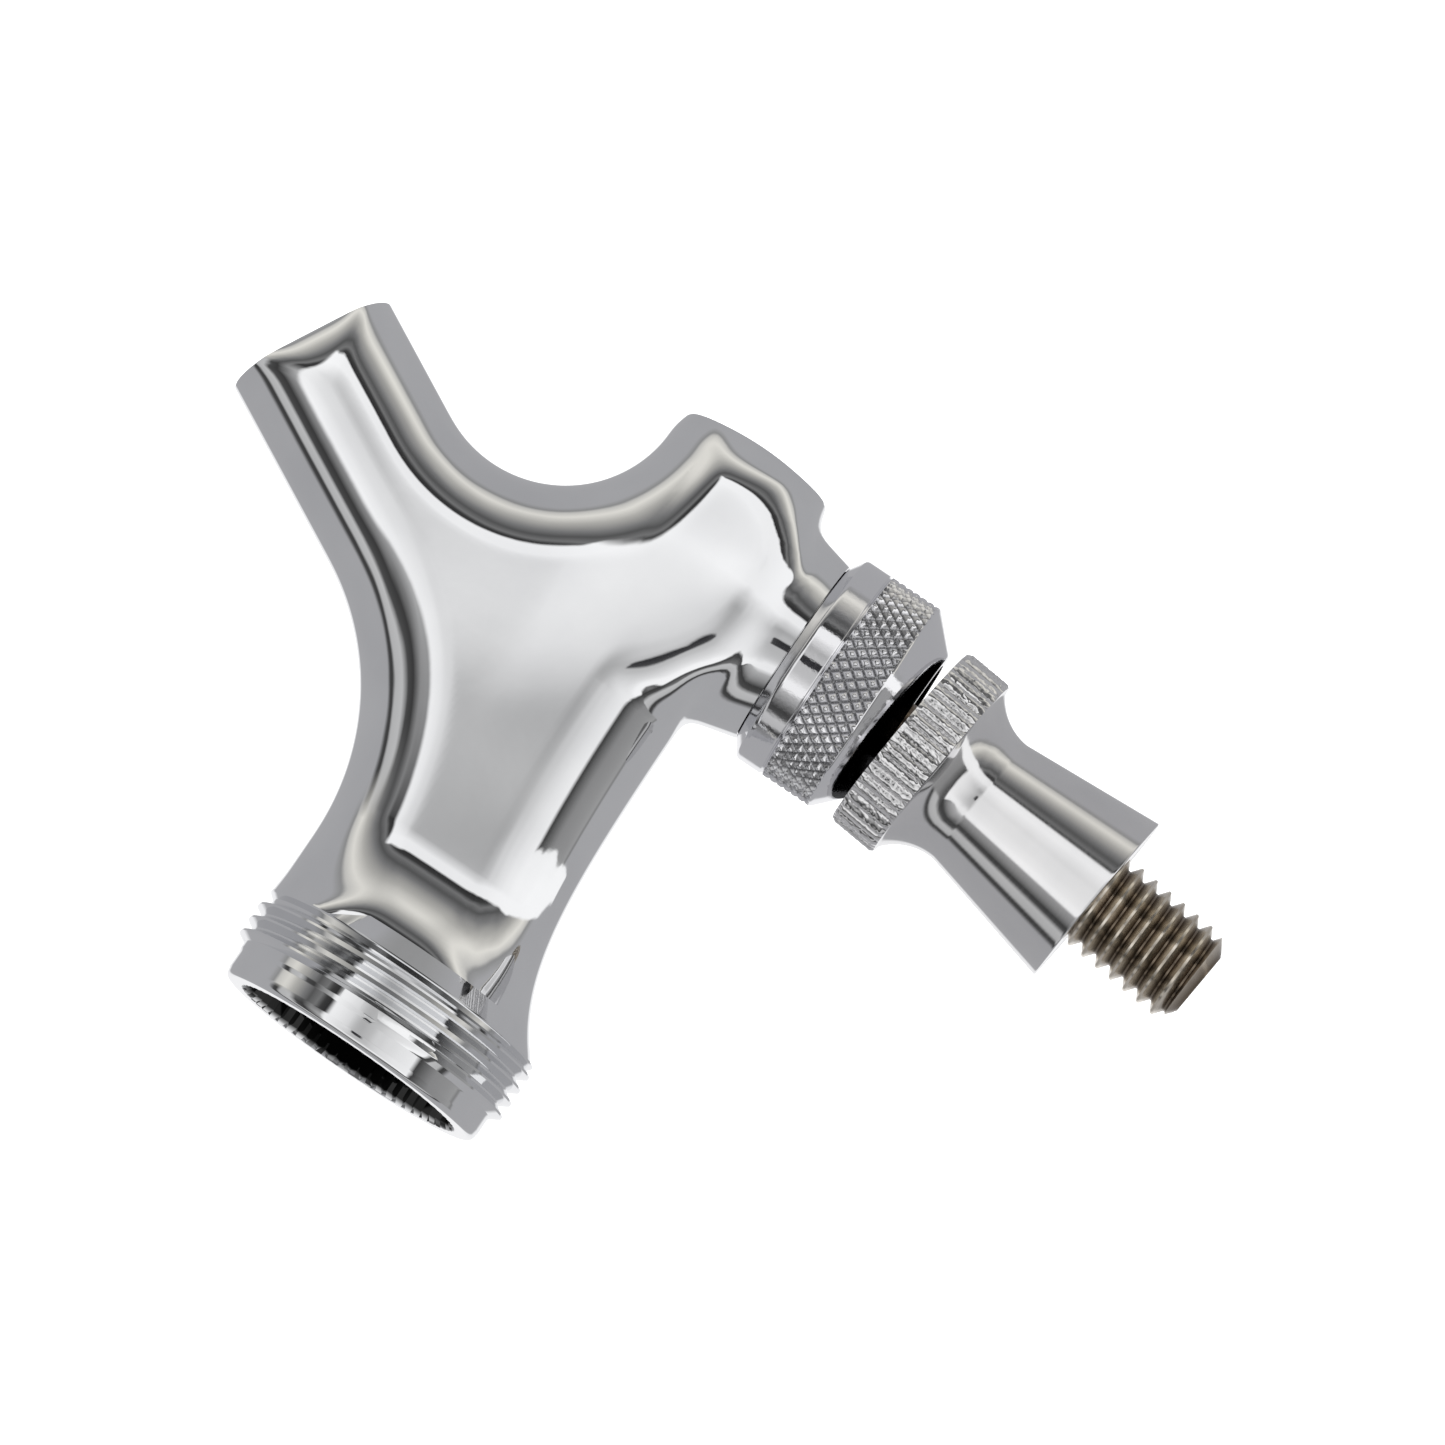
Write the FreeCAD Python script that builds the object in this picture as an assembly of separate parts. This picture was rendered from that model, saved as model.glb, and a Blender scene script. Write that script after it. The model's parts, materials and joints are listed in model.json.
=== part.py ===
import FreeCAD, Part
import math
import os

os.makedirs("parts", exist_ok=True)

# Draft beer faucet, millimetres. The origin is the centre of the coupling end face.
# +Y runs back into the shank, the lever points to +Z and the front stub faces -Y.
# "s" below is the distance forward of the coupling face, so y = -s.

# shank coupling
COUPLING_MAJOR_R = 14.2875      # 1-1/8 in - 18 thread
COUPLING_PITCH = 25.4 / 18
COUPLING_ROOT_R = 13.42
COUPLING_PILOT_R = 13.30
COUPLING_RIM_R = 12.75
PILOT_LEN = 2.3
THREAD_START = 2.75
THREAD_END = 8.5
RUNOUT = 0.1
SOCKET_ROOT_R = 11.45
SOCKET_TOOTH = 0.70
SOCKET_TEETH = 60
SOCKET_DEPTH = 5.5
MOUTH_CHAMFER = 1.25
GASKET_SEAT_R = 10.05
GASKET_SEAT = 7.5
GASKET_R = 9.95
GASKET_HOLE_R = 6.6
GASKET_THICK = 1.9

# body plate
HALF_THICK = 7.94
EDGE_ROUND = 7.75
BARREL_TOP = 7.80
BELLY_Z = -13.85
BELLY_R = 24.0
CROTCH_R = 11.4
BARREL_FRONT = 63.1

# trumpet between the coupling and the plate
FLARE_START_R = 14.05
FLARE_MID = (14.4, 10.15)       # distance forward and radius
FLARE_END = 25.0
FLARE_END_R = 7.6
FLARE_BLEND = 10.0
NECK_BLEND = 0.6
CORE_R = 5.0
CORE_FILL_R = 5.5

# front stub
STUB_START = (50.0, 6.9)        # distance forward and radius
STUB_SWELL = (56.0, 7.95)
STUB_WIDEST = (61.0, 8.45)
STUB_SHOULDER = (63.2, 8.0)
STUB_RIM = 65.1                 # where the slightly domed end starts
STUB_RIM_R = 7.55
STUB_CHAMFER = 0.3
STUB_DOME_RISE = 0.95
STUB_FLAT_R = 0.8               # flat spot in the middle of the domed end

# spout
SPOUT_R = 15.875 / 2            # 5/8 in outlet tube
SPOUT_BORE_R = 5.20
SPOUT_ROOT = 30.9
SPOUT_LEAN = math.radians(27.8)
SPOUT_LEN = 44.0
THROAT_R = 4.60
THROAT_LEN = 9.0

# water way
CHAMBER_R = 6.40
CHAMBER_START = 5.0
SEAT_START = 17.0
PASSAGE_R = 4.90
GUIDE_R = 4.48
GUIDE_START = 45.0
GUIDE_END = 63.2

# neck under the collar
PIVOT_S = 52.5
PIVOT_Z = 16.9
NECK_FLOOR_Z = -3.0
NECK_FLOOR_R = 5.5
NECK_BULGE = (8.6, 2.2)         # radius and height
NECK_BASE_Z = 8.7
NECK_BASE_R = 10.1
NECK_TOP_R = 9.2
NECK_SHOULDER = 12.4
NECK_THREAD_R = 8.60
NECK_THREAD_DEPTH = 0.55
NECK_THREAD_PITCH = 1.0
NECK_NOSE_R = 7.8
NECK_RELIEF_R = 8.05
NECK_END = 18.0
NECK_BORE_R = 6.20
NECK_BORE_Z = 2.2
WASHER_SEAT_R = 7.20
WASHER_SEAT_Z = 11.4

# lever
LEVER_LEAN = 6.1                # degrees towards the shank when shut
BALL_R = 5.60
BALL_GAP = 0.08
FINGER_R = 1.70
ARM = 16.9
STEM_R = 3.0
COLLET_R = 5.4
COLLET_LOW = 9.8
COLLET_TOP = 10.6
STUD_R = 4.7625                 # 3/8 in - 16 thread
STUD_PITCH = 25.4 / 16
STUD_CORE_R = 3.85
STUD_TIP_R = 3.1
STUD_TIP_LEN = 0.7
STUD_END = 42.3

# ferrule on the lever, heights above the pivot
FERRULE_HOLE_R = 3.95
COLLET_ROOM_R = 5.6
CUP = (9.0, 7.8)                # radius and height
RING_LOW = 7.6
RING_TOP = 12.4
RING_R = 9.70
RING_CHAMFER = 0.4
RING_TEETH = 48
RING_GROOVE = 0.38
WAIST_CURVE = (7.25, 14.3)
WAIST = (6.6, 16.9)
BELL_R = 8.75
BELL_EDGE = 0.15
BELL_END = 30.5

# lever collar
COLLAR_R = 10.60
COLLAR_LOW = 12.42
COLLAR_LIP_R = 9.1
COLLAR_LIP = (10.45, 13.3)      # radius and height
COLLAR_BAND = 13.5
COLLAR_BORE_R = 8.68
COLLAR_BORE_TOP = 18.1
COLLAR_ROOM_R = 8.3
COLLAR_ROOM_TOP = 22.4
GROOVE_DEPTH = 0.3
KNURL_LOW = 14.9
CONE_START = 21.2
CONE_END = 24.16
CONE_END_R = 7.5
COLLAR_HOLE_R = 6.5

# washers and bonnet inside the collar
WASHER_OUT_R = 7.15
WASHER_IN_R = 4.3
WASHER_TOP = 14.4
FRICTION_IN_R = 4.5
FRICTION_LOW = 18.05
FRICTION_TOP = 19.9
BONNET_R = 8.2
BONNET_TOP = 22.35
BONNET_HOLE_LOW_R = 5.6
BONNET_HOLE_TOP_R = 5.4

# valve shaft
SHAFT_R = 4.40
HEAD_REAR = 47.5
HEAD_TAPER = 1.4
HEAD_FRONT = 62.5
HEAD_CHAMFER = 0.4
SHAFT_STEM_R = 3.0
SHAFT_END_R = 2.4
SHAFT_CHAMFER = 0.3
SHAFT_END = 10.2
SLOT_HALF = 1.95
SLOT_FLOOR = -2.05
SLOT_REAR = ((52.25, SLOT_FLOOR), (51.70, 4.6))
SLOT_FRONT = ((58.15, 4.6), (56.40, 0.3), (56.35, SLOT_FLOOR))

# seat on the shaft's rear end
SEAT_FRONT = 18.2
SEAT_WASHER_REAR = 15.2
SEAT_WASHER_R = 5.6
SEAT_GAP = 0.14
BACKING_R = 4.5
BACKING_THICK = 1.0
RETAINING_R = 5.2
NUT_FLATS = 8.0
NUT_REAR = 11.4
NUT_FRONT = 14.4


def point(x, s, z):
    return FreeCAD.Vector(x, -s, z)


CENTRE = point(0, 0, 0)
PIVOT = point(0, PIVOT_S, PIVOT_Z)
ALONG_BARREL = FreeCAD.Vector(0, 1, 0)
UPRIGHT = FreeCAD.Vector(0, 0, 1)


def lines(points):
    return [Part.LineSegment(a, b).toShape() for a, b in zip(points, points[1:])]


def arc(start, middle, end):
    return Part.Arc(start, middle, end).toShape()


def face_of(edges):
    return Part.Face(Part.Wire(edges))


def polygon(points):
    return face_of(lines(points + [points[0]]))


def spin_barrel(face):
    return face.revolve(CENTRE, ALONG_BARREL, 360)


def spin_neck(face):
    return face.revolve(PIVOT, UPRIGHT, 360)


def turned_s(profile):
    # profile of (s, r) pairs spun about the barrel axis
    return spin_barrel(polygon([point(0, s, r) for s, r in profile]))


def turned_z(profile):
    # profile of (r, z) pairs spun about the upright axis of the neck
    return spin_neck(polygon([point(r, PIVOT_S, z) for r, z in profile]))


def thread_profile(start, end, pitch, root, crest):
    # ridged outline, one ridge per turn, as (position, radius) pairs
    pairs = [(start, root)]
    for i in range(math.floor((end - start) / pitch + 1e-6)):
        for share, radius in ((0.06, root), (0.44, crest), (0.56, crest), (0.94, root)):
            pairs.append((start + (i + share) * pitch, radius))
    pairs.append((end, root))
    return pairs


def tube(outer, inner, s0, s1):
    return turned_s([(s0, inner), (s0, outer), (s1, outer), (s1, inner)])


def cylinder_s(radius, s0, s1):
    return Part.makeCylinder(radius, s1 - s0, point(0, s0, 0), -ALONG_BARREL)


def spout_cylinder(radius, length):
    down = point(0, math.sin(SPOUT_LEAN), -math.cos(SPOUT_LEAN))
    return Part.makeCylinder(radius, length, point(0, SPOUT_ROOT, 0), down)


def save(shape, name):
    shape = shape.removeSplitter()
    shape.exportStep("parts/" + name + ".step")
    print(name, shape.isValid(), len(shape.Solids), round(shape.Volume, 1))


def spout_point(along, across):
    # along the spout axis from the barrel axis, across towards the front
    s = SPOUT_ROOT + along * math.sin(SPOUT_LEAN) + across * math.cos(SPOUT_LEAN)
    z = -along * math.cos(SPOUT_LEAN) + across * math.sin(SPOUT_LEAN)
    return s, z


def spout_line_at(across, z):
    # where a line along the spout, offset by across, passes height z
    along = (across * math.sin(SPOUT_LEAN) - z) / math.cos(SPOUT_LEAN)
    return spout_point(along, across)


def corner_arc(before, corner, after, radius):
    # arc that rounds the corner of two straight lines, returned with its two ends
    v1 = (before[0] - corner[0], before[1] - corner[1])
    v2 = (after[0] - corner[0], after[1] - corner[1])
    n1 = math.hypot(*v1)
    n2 = math.hypot(*v2)
    u1 = (v1[0] / n1, v1[1] / n1)
    u2 = (v2[0] / n2, v2[1] / n2)
    half = math.acos(u1[0] * u2[0] + u1[1] * u2[1]) / 2
    t = radius / math.tan(half)
    a = (corner[0] + u1[0] * t, corner[1] + u1[1] * t)
    b = (corner[0] + u2[0] * t, corner[1] + u2[1] * t)
    w = (u1[0] + u2[0], u1[1] + u2[1])
    reach = (radius / math.sin(half) - radius) / math.hypot(*w)
    m = (corner[0] + w[0] * reach, corner[1] + w[1] * reach)
    return a, m, b


def web():
    # the flat-sided Y: barrel, belly and spout in one plate with fully rounded edges
    rear_tip = spout_point(SPOUT_LEN, -SPOUT_R)
    front_tip = spout_point(SPOUT_LEN, SPOUT_R)
    belly = spout_line_at(-SPOUT_R, BELLY_Z)
    crotch = spout_line_at(SPOUT_R, -HALF_THICK)
    low_rear = (THREAD_END, BELLY_Z)
    top_rear = (THREAD_END, BARREL_TOP)
    low_front = (BARREL_FRONT, -HALF_THICK)
    top_front = (BARREL_FRONT, BARREL_TOP)
    a1, m1, b1 = corner_arc(low_rear, belly, rear_tip, BELLY_R)
    a2, m2, b2 = corner_arc(front_tip, crotch, low_front, CROTCH_R)

    def side(pairs):
        return [point(-HALF_THICK, s, z) for s, z in pairs]

    edges = lines(side([top_rear, low_rear, a1]))
    edges.append(arc(*side([a1, m1, b1])))
    edges += lines(side([b1, rear_tip, front_tip, a2]))
    edges.append(arc(*side([a2, m2, b2])))
    edges += lines(side([b2, low_front, top_front, top_rear]))
    plate = face_of(edges).extrude(point(2 * HALF_THICK, 0, 0))
    tip_low = min(rear_tip[1], front_tip[1]) - 0.01
    tip_high = max(rear_tip[1], front_tip[1]) + 0.01
    rounded = []
    for edge in plate.Edges:
        box = edge.BoundBox
        in_side = box.XLength < 1e-6
        across_s = box.YLength < 1e-6
        is_tip = tip_low < box.ZMin and box.ZMax < tip_high
        if in_side and not across_s and not is_tip:
            rounded.append(edge)
    return plate.makeFillet(EDGE_ROUND, rounded)


def flare():
    # coupling barrel, its thread, and the trumpet that runs down into the body
    start, end = THREAD_START, THREAD_END - RUNOUT
    outline = [(0.0, CORE_R), (0.0, COUPLING_RIM_R), (0.15, 12.95), (0.55, 13.15)]
    outline.append((PILOT_LEN, COUPLING_PILOT_R))
    outline += thread_profile(start, end, COUPLING_PITCH, COUPLING_ROOT_R, COUPLING_MAJOR_R)
    outline.append((THREAD_END, FLARE_START_R))
    pts = [point(0, s, r) for s, r in outline]
    edge_end = point(0, FLARE_END, FLARE_END_R)
    edges = lines(pts)
    edges.append(arc(pts[-1], point(0, *FLARE_MID), edge_end))
    edges += lines([edge_end, point(0, FLARE_END, CORE_R), pts[0]])
    return spin_barrel(face_of(edges)).fuse(cylinder_s(CORE_FILL_R, 0.0, FLARE_END))


def stub():
    # round nose that closes the front of the barrel
    a = point(0, *STUB_START)
    b = point(0, *STUB_WIDEST)
    c = point(0, STUB_RIM - STUB_CHAMFER, STUB_RIM_R)
    d = point(0, STUB_RIM, STUB_RIM_R - STUB_CHAMFER)
    half_way = point(0, STUB_RIM + 0.75 * STUB_DOME_RISE, 0.5 * (STUB_RIM_R - STUB_CHAMFER))
    top = STUB_RIM + STUB_DOME_RISE
    edges = [arc(a, point(0, *STUB_SWELL), b), arc(b, point(0, *STUB_SHOULDER), c)]
    edges += lines([c, d]) + [arc(d, half_way, point(0, top, STUB_FLAT_R))]
    edges += lines([point(0, top, STUB_FLAT_R), point(0, top, 0), point(0, STUB_START[0], 0), a])
    return spin_barrel(face_of(edges))


def neck():
    # boss that swells out of the barrel, then the threaded nose under the collar
    start, end = NECK_SHOULDER + 0.2, NECK_END - 0.4
    root = NECK_THREAD_R - NECK_THREAD_DEPTH
    ridges = thread_profile(start, end, NECK_THREAD_PITCH, root, NECK_THREAD_R)
    outline = [(NECK_BASE_R, NECK_BASE_Z), (NECK_TOP_R, NECK_SHOULDER), (NECK_RELIEF_R, NECK_SHOULDER)]
    outline += [(r, z) for z, r in ridges]
    outline += [(NECK_NOSE_R, NECK_END), (0, NECK_END), (0, NECK_FLOOR_Z), (NECK_FLOOR_R, NECK_FLOOR_Z)]
    pts = [point(r, PIVOT_S, z) for r, z in outline]
    bulge = point(NECK_BULGE[0], PIVOT_S, NECK_BULGE[1])
    return spin_neck(face_of(lines(pts) + [arc(pts[-1], bulge, pts[0])]))


def socket_teeth():
    # saw-tooth ring cut in the coupling mouth, which stops the faucet turning in its nut
    before = 0.5
    pts = []
    for i in range(SOCKET_TEETH):
        for radius, shift in ((SOCKET_ROOT_R, 0.0), (SOCKET_ROOT_R - SOCKET_TOOTH, 0.5)):
            a = 2 * math.pi * (i + shift) / SOCKET_TEETH
            pts.append(point(radius * math.cos(a), -before, radius * math.sin(a)))
    cut = polygon(pts).extrude(point(0, SOCKET_DEPTH + before, 0))
    deep = MOUTH_CHAMFER - before
    wide = SOCKET_ROOT_R + SOCKET_TOOTH
    mouth = turned_s([(-before, 0), (-before, wide), (deep, wide - MOUTH_CHAMFER), (deep, 0)])
    return cut.fuse(mouth)


def round_creases(solid, radius, s0, s1, z0, z1):
    # round the creases that lie wholly inside a box of s and z; lines and arcs are left sharp
    creases = []
    for edge in solid.Edges:
        box = edge.BoundBox
        inside = -box.YMax >= s0 and -box.YMin <= s1 and box.ZMin >= z0 and box.ZMax <= z1
        free = isinstance(edge.Curve, Part.BSplineCurve)
        if inside and (free or edge.Length < radius):
            creases.append(edge)
    return solid.makeFillet(radius, creases)


def water_way():
    step = CHAMBER_R - PASSAGE_R
    seat = [(SEAT_START - 0.01, 0), (SEAT_START - 0.01, CHAMBER_R),
            (SEAT_START + step, PASSAGE_R), (SEAT_START + step, 0)]
    full_length = SPOUT_LEN + 1
    spout = spout_cylinder(SPOUT_BORE_R, full_length).cut(spout_cylinder(2 * SPOUT_R, THROAT_LEN))
    bores = [cylinder_s(GASKET_SEAT_R, SOCKET_DEPTH - 0.5, GASKET_SEAT)]
    bores.append(cylinder_s(CHAMBER_R, CHAMBER_START, SEAT_START))
    bores.append(turned_s(seat))
    bores.append(cylinder_s(PASSAGE_R, SEAT_START, GUIDE_START))
    bores.append(cylinder_s(GUIDE_R, GUIDE_START - 1, GUIDE_END))
    bores += [spout, spout_cylinder(THROAT_R, THROAT_LEN + 1)]
    return bores


def faucet_body():
    body = web().fuse(flare()).removeSplitter()
    body = round_creases(body, FLARE_BLEND, 8.55, 22.6, -13.95, 7.85)
    body = body.fuse([stub(), neck()]).removeSplitter()
    body = round_creases(body, NECK_BLEND, 42.5, 62.6, 0.6, NECK_BASE_Z - 0.1)
    lever_room = Part.makeCylinder(NECK_BORE_R, NECK_END, point(0, PIVOT_S, NECK_BORE_Z))
    washer_seat = Part.makeCylinder(WASHER_SEAT_R, NECK_END, point(0, PIVOT_S, WASHER_SEAT_Z))
    return body.cut([socket_teeth()] + water_way() + [lever_room, washer_seat])


def lean(shape):
    # set the lever shapes at their shut angle about the pivot
    shape.rotate(PIVOT, FreeCAD.Vector(1, 0, 0), -LEVER_LEAN)
    return shape


def lever():
    foot = point(0, PIVOT_S, PIVOT_Z - ARM)
    finger = Part.makeCylinder(FINGER_R, ARM, foot)
    tip = Part.makeSphere(FINGER_R, foot)
    ball = Part.makeSphere(BALL_R, PIVOT)
    rod = [(0, 0), (STEM_R, 0), (STEM_R, COLLET_LOW - 0.1), (COLLET_R, COLLET_LOW)]
    rod += [(COLLET_R, COLLET_TOP), (STUD_CORE_R, COLLET_TOP)]
    thread_end = STUD_END - STUD_TIP_LEN
    ridges = thread_profile(BELL_END - RUNOUT, thread_end, STUD_PITCH, STUD_CORE_R, STUD_R)
    rod += [(r, h) for h, r in ridges] + [(STUD_TIP_R, STUD_END), (0, STUD_END)]
    body = turned_z([(r, PIVOT_Z + h) for r, h in rod])
    return lean(body.fuse([ball, finger, tip]))


def ring_grooves():
    # straight knurl round the ring
    outer = RING_R + 0.3
    grooves = []
    for i in range(RING_TEETH):
        a = 2 * math.pi * i / RING_TEETH
        wedge = []
        for r, da in ((outer, -0.045), (RING_R - RING_GROOVE, 0.0), (outer, 0.045)):
            offset = point(r * math.cos(a + da), -r * math.sin(a + da), RING_LOW - 0.2)
            wedge.append(PIVOT + offset)
        grooves.append(polygon(wedge).extrude(UPRIGHT * (RING_TOP - RING_LOW + 0.4)))
    return grooves


def lever_ferrule():
    def p(r, h):
        return point(r, PIVOT_S, PIVOT_Z + h)

    inside = [p(FERRULE_HOLE_R, BELL_END), p(FERRULE_HOLE_R, COLLET_TOP), p(COLLET_ROOM_R, COLLET_TOP)]
    cup = [p(*CUP), p(CUP[0] + 0.2, RING_LOW), p(RING_R - RING_CHAMFER, RING_LOW)]
    ring = [p(RING_R, RING_LOW + RING_CHAMFER), p(RING_R, RING_TOP - 0.3), p(RING_R - 0.3, RING_TOP)]
    ring.append(p(CUP[0], RING_TOP))
    bell = [p(*WAIST), p(BELL_R, BELL_END - BELL_EDGE), p(BELL_R - BELL_EDGE, BELL_END), inside[0]]
    edges = lines(inside + cup + ring) + [arc(ring[-1], p(*WAIST_CURVE), bell[0])] + lines(bell)
    return lean(spin_neck(face_of(edges)).cut(ring_grooves()))


def lever_collar():
    groove_r = COLLAR_R - GROOVE_DEPTH
    outer = [(COLLAR_BORE_R, COLLAR_LOW), (COLLAR_LIP_R, COLLAR_LOW), COLLAR_LIP, (COLLAR_R, COLLAR_BAND)]
    outer += [(COLLAR_R, KNURL_LOW - 0.25), (groove_r, KNURL_LOW - 0.1), (groove_r, KNURL_LOW + 0.05)]
    outer += [(COLLAR_R, KNURL_LOW + 0.2), (COLLAR_R, CONE_START), (CONE_END_R, CONE_END)]
    outer += [(COLLAR_HOLE_R, CONE_END), (COLLAR_HOLE_R, COLLAR_ROOM_TOP), (COLLAR_ROOM_R, COLLAR_ROOM_TOP)]
    outer += [(COLLAR_ROOM_R, COLLAR_BORE_TOP), (COLLAR_BORE_R, COLLAR_BORE_TOP)]
    return turned_z(outer)


def socketed(inner, outer, low, top):
    # flat washer hollowed to take the lever ball
    ring = turned_z([(inner, low), (outer, low), (outer, top), (inner, top)])
    return ring.cut(Part.makeSphere(BALL_R + BALL_GAP, PIVOT))


def compression_bonnet():
    outline = [(BONNET_HOLE_LOW_R, FRICTION_TOP), (BONNET_R, FRICTION_TOP)]
    return turned_z(outline + [(BONNET_R, BONNET_TOP), (BONNET_HOLE_TOP_R, BONNET_TOP)])


def valve_shaft():
    neck_end = SEAT_FRONT + BACKING_THICK
    outline = [(SHAFT_END, 0), (SHAFT_END, SHAFT_END_R - SHAFT_CHAMFER)]
    outline += [(SHAFT_END + SHAFT_CHAMFER, SHAFT_END_R), (neck_end, SHAFT_END_R), (neck_end, SHAFT_STEM_R)]
    outline += [(HEAD_REAR - HEAD_TAPER, SHAFT_STEM_R), (HEAD_REAR, SHAFT_R)]
    outline += [(HEAD_FRONT - HEAD_CHAMFER, SHAFT_R), (HEAD_FRONT, SHAFT_R - HEAD_CHAMFER), (HEAD_FRONT, 0)]
    # slot for the lever finger, open at the top and widening forward
    side = [point(-SLOT_HALF, s, z) for s, z in SLOT_REAR + SLOT_FRONT]
    return turned_s(outline).cut(polygon(side).extrude(point(2 * SLOT_HALF, 0, 0)))


def seat_nut():
    corner_r = NUT_FLATS / 2 / math.cos(math.pi / 6)
    pts = []
    for i in range(6):
        a = math.pi / 3 * (i + 0.5)
        pts.append(point(corner_r * math.cos(a), NUT_REAR, corner_r * math.sin(a)))
    prism = polygon(pts).extrude(point(0, NUT_FRONT - NUT_REAR, 0))
    return prism.cut(cylinder_s(SHAFT_END_R, NUT_REAR - 1, NUT_FRONT + 1))


def shaft_seat_washer():
    # its front edge is bevelled to face the cone of the seat
    edge = SEAT_START + CHAMBER_R - SEAT_WASHER_R - SEAT_GAP
    front_r = SEAT_WASHER_R - (SEAT_FRONT - edge)
    profile = [(SEAT_WASHER_REAR, SHAFT_END_R), (SEAT_WASHER_REAR, SEAT_WASHER_R), (edge, SEAT_WASHER_R)]
    return turned_s(profile + [(SEAT_FRONT, front_r), (SEAT_FRONT, SHAFT_END_R)])


PARTS = {
    "faucet_body": faucet_body(),
    "coupling_gasket": tube(GASKET_R, GASKET_HOLE_R, GASKET_SEAT - GASKET_THICK, GASKET_SEAT),
    "valve_shaft": valve_shaft(),
    "seat_backing_washer": tube(BACKING_R, SHAFT_END_R, SEAT_FRONT, SEAT_FRONT + BACKING_THICK),
    "shaft_seat_washer": shaft_seat_washer(),
    "seat_retaining_washer": tube(RETAINING_R, SHAFT_END_R, NUT_FRONT, SEAT_WASHER_REAR),
    "seat_nut": seat_nut(),
    "lever": lever(),
    "lever_ferrule": lever_ferrule(),
    "ball_washer": socketed(WASHER_IN_R, WASHER_OUT_R, WASHER_SEAT_Z, WASHER_TOP),
    "friction_washer": socketed(FRICTION_IN_R, BONNET_R, FRICTION_LOW, FRICTION_TOP),
    "compression_bonnet": compression_bonnet(),
    "lever_collar": lever_collar(),
}
for name, shape in PARTS.items():
    save(shape, name)
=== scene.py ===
import json
import math

import bmesh
import bpy
import numpy as np
from mathutils import Matrix, Vector


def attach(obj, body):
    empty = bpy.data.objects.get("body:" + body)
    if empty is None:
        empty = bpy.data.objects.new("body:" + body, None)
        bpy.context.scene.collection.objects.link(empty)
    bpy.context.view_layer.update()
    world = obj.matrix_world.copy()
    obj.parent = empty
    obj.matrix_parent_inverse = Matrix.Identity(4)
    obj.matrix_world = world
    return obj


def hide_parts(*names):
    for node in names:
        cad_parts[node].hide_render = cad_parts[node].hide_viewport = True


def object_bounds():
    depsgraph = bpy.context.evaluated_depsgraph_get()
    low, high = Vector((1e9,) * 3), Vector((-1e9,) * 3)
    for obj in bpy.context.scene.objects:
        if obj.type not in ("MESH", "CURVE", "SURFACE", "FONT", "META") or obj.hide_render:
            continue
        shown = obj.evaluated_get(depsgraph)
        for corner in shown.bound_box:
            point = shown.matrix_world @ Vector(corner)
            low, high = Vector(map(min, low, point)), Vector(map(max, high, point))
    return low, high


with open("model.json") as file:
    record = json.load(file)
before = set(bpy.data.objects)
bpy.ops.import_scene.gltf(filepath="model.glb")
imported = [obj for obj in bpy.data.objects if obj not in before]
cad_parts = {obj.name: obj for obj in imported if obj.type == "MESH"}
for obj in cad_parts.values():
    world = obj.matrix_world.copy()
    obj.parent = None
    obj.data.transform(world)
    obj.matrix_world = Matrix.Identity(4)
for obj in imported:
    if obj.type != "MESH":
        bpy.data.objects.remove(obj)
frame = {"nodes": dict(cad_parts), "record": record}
nodes = frame["nodes"]
cad_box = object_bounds()

# Lengths are millimetres until a mesh is made. "s" is the distance forward of the coupling
# face, so a place (x, s, z) is (x, -s, z) / 1000 in the row frame. A name that ends in RUN is
# the length over which a change is spread.

# shank coupling
COUPLING_CUT = 8.4
COUPLING_SHOULDER_R = 14.05
COUPLING_CREST_R = 14.2875
COUPLING_ROOT_R = 13.42
COUPLING_PITCH = 25.4 / 18
PILOT_R = 13.30
PILOT_LEN = 2.3
SOCKET_ROOT_R = 11.45
SOCKET_TOOTH = 0.70
SOCKET_TEETH = 60
SOCKET_DEPTH = 5.5
COUPLING_FACE_R = 12.75
COUPLING_END = 10.4
THREAD_START = 2.9

# body: barrel, belly, crotch, nose and spout
HALF_THICK = 7.94
BARREL_TOP = 7.75
FLARE_FADE = 6.6
BELLY_Z = -13.85
BELLY_R = 24.0
BELLY_STEP_END = 11.0
BELLY_STEP_RUN = 2.6
CROTCH_R = 11.4
FLAT_END = 19.3
STUB_RIM = 65.1
STUB_RIM_R = 7.55
STUB_DOME_RISE = 0.95
NOSE_START = 50.0
NOSE_TOP_START, NOSE_TOP_RUN = 42.0, 16.0
NOSE_SWELL = 0.42
NOSE_SWELL_START, NOSE_SWELL_RUN = 54.0, 7.0
NOSE_TAPER = 0.86
NOSE_TAPER_START, NOSE_TAPER_RUN, NOSE_TAPER_POWER = 60.5, 4.7, 1.9
SPOUT_R = 15.875 / 2
SPOUT_ROOT = 30.9
SPOUT_LEAN = math.radians(27.8)
SPOUT_LEN = 44.0
PIVOT_S = 52.5
PIVOT_Z = 16.9

# body: neck, with the boss under it
NECK_TOP_R = 9.2
NECK_TOP_Z = 12.35
NECK_SLOPE = 0.25
NECK_SIDE_R = 9.15
NECK_BULB_Z = 8.0
NECK_BULB_DEPTH = 12.0
NECK_BULB_POWER = 2.2
NECK_PINCH_Z = -1.5
NECK_PINCH = 1.5
NECK_BLEND = 1.8

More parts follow.
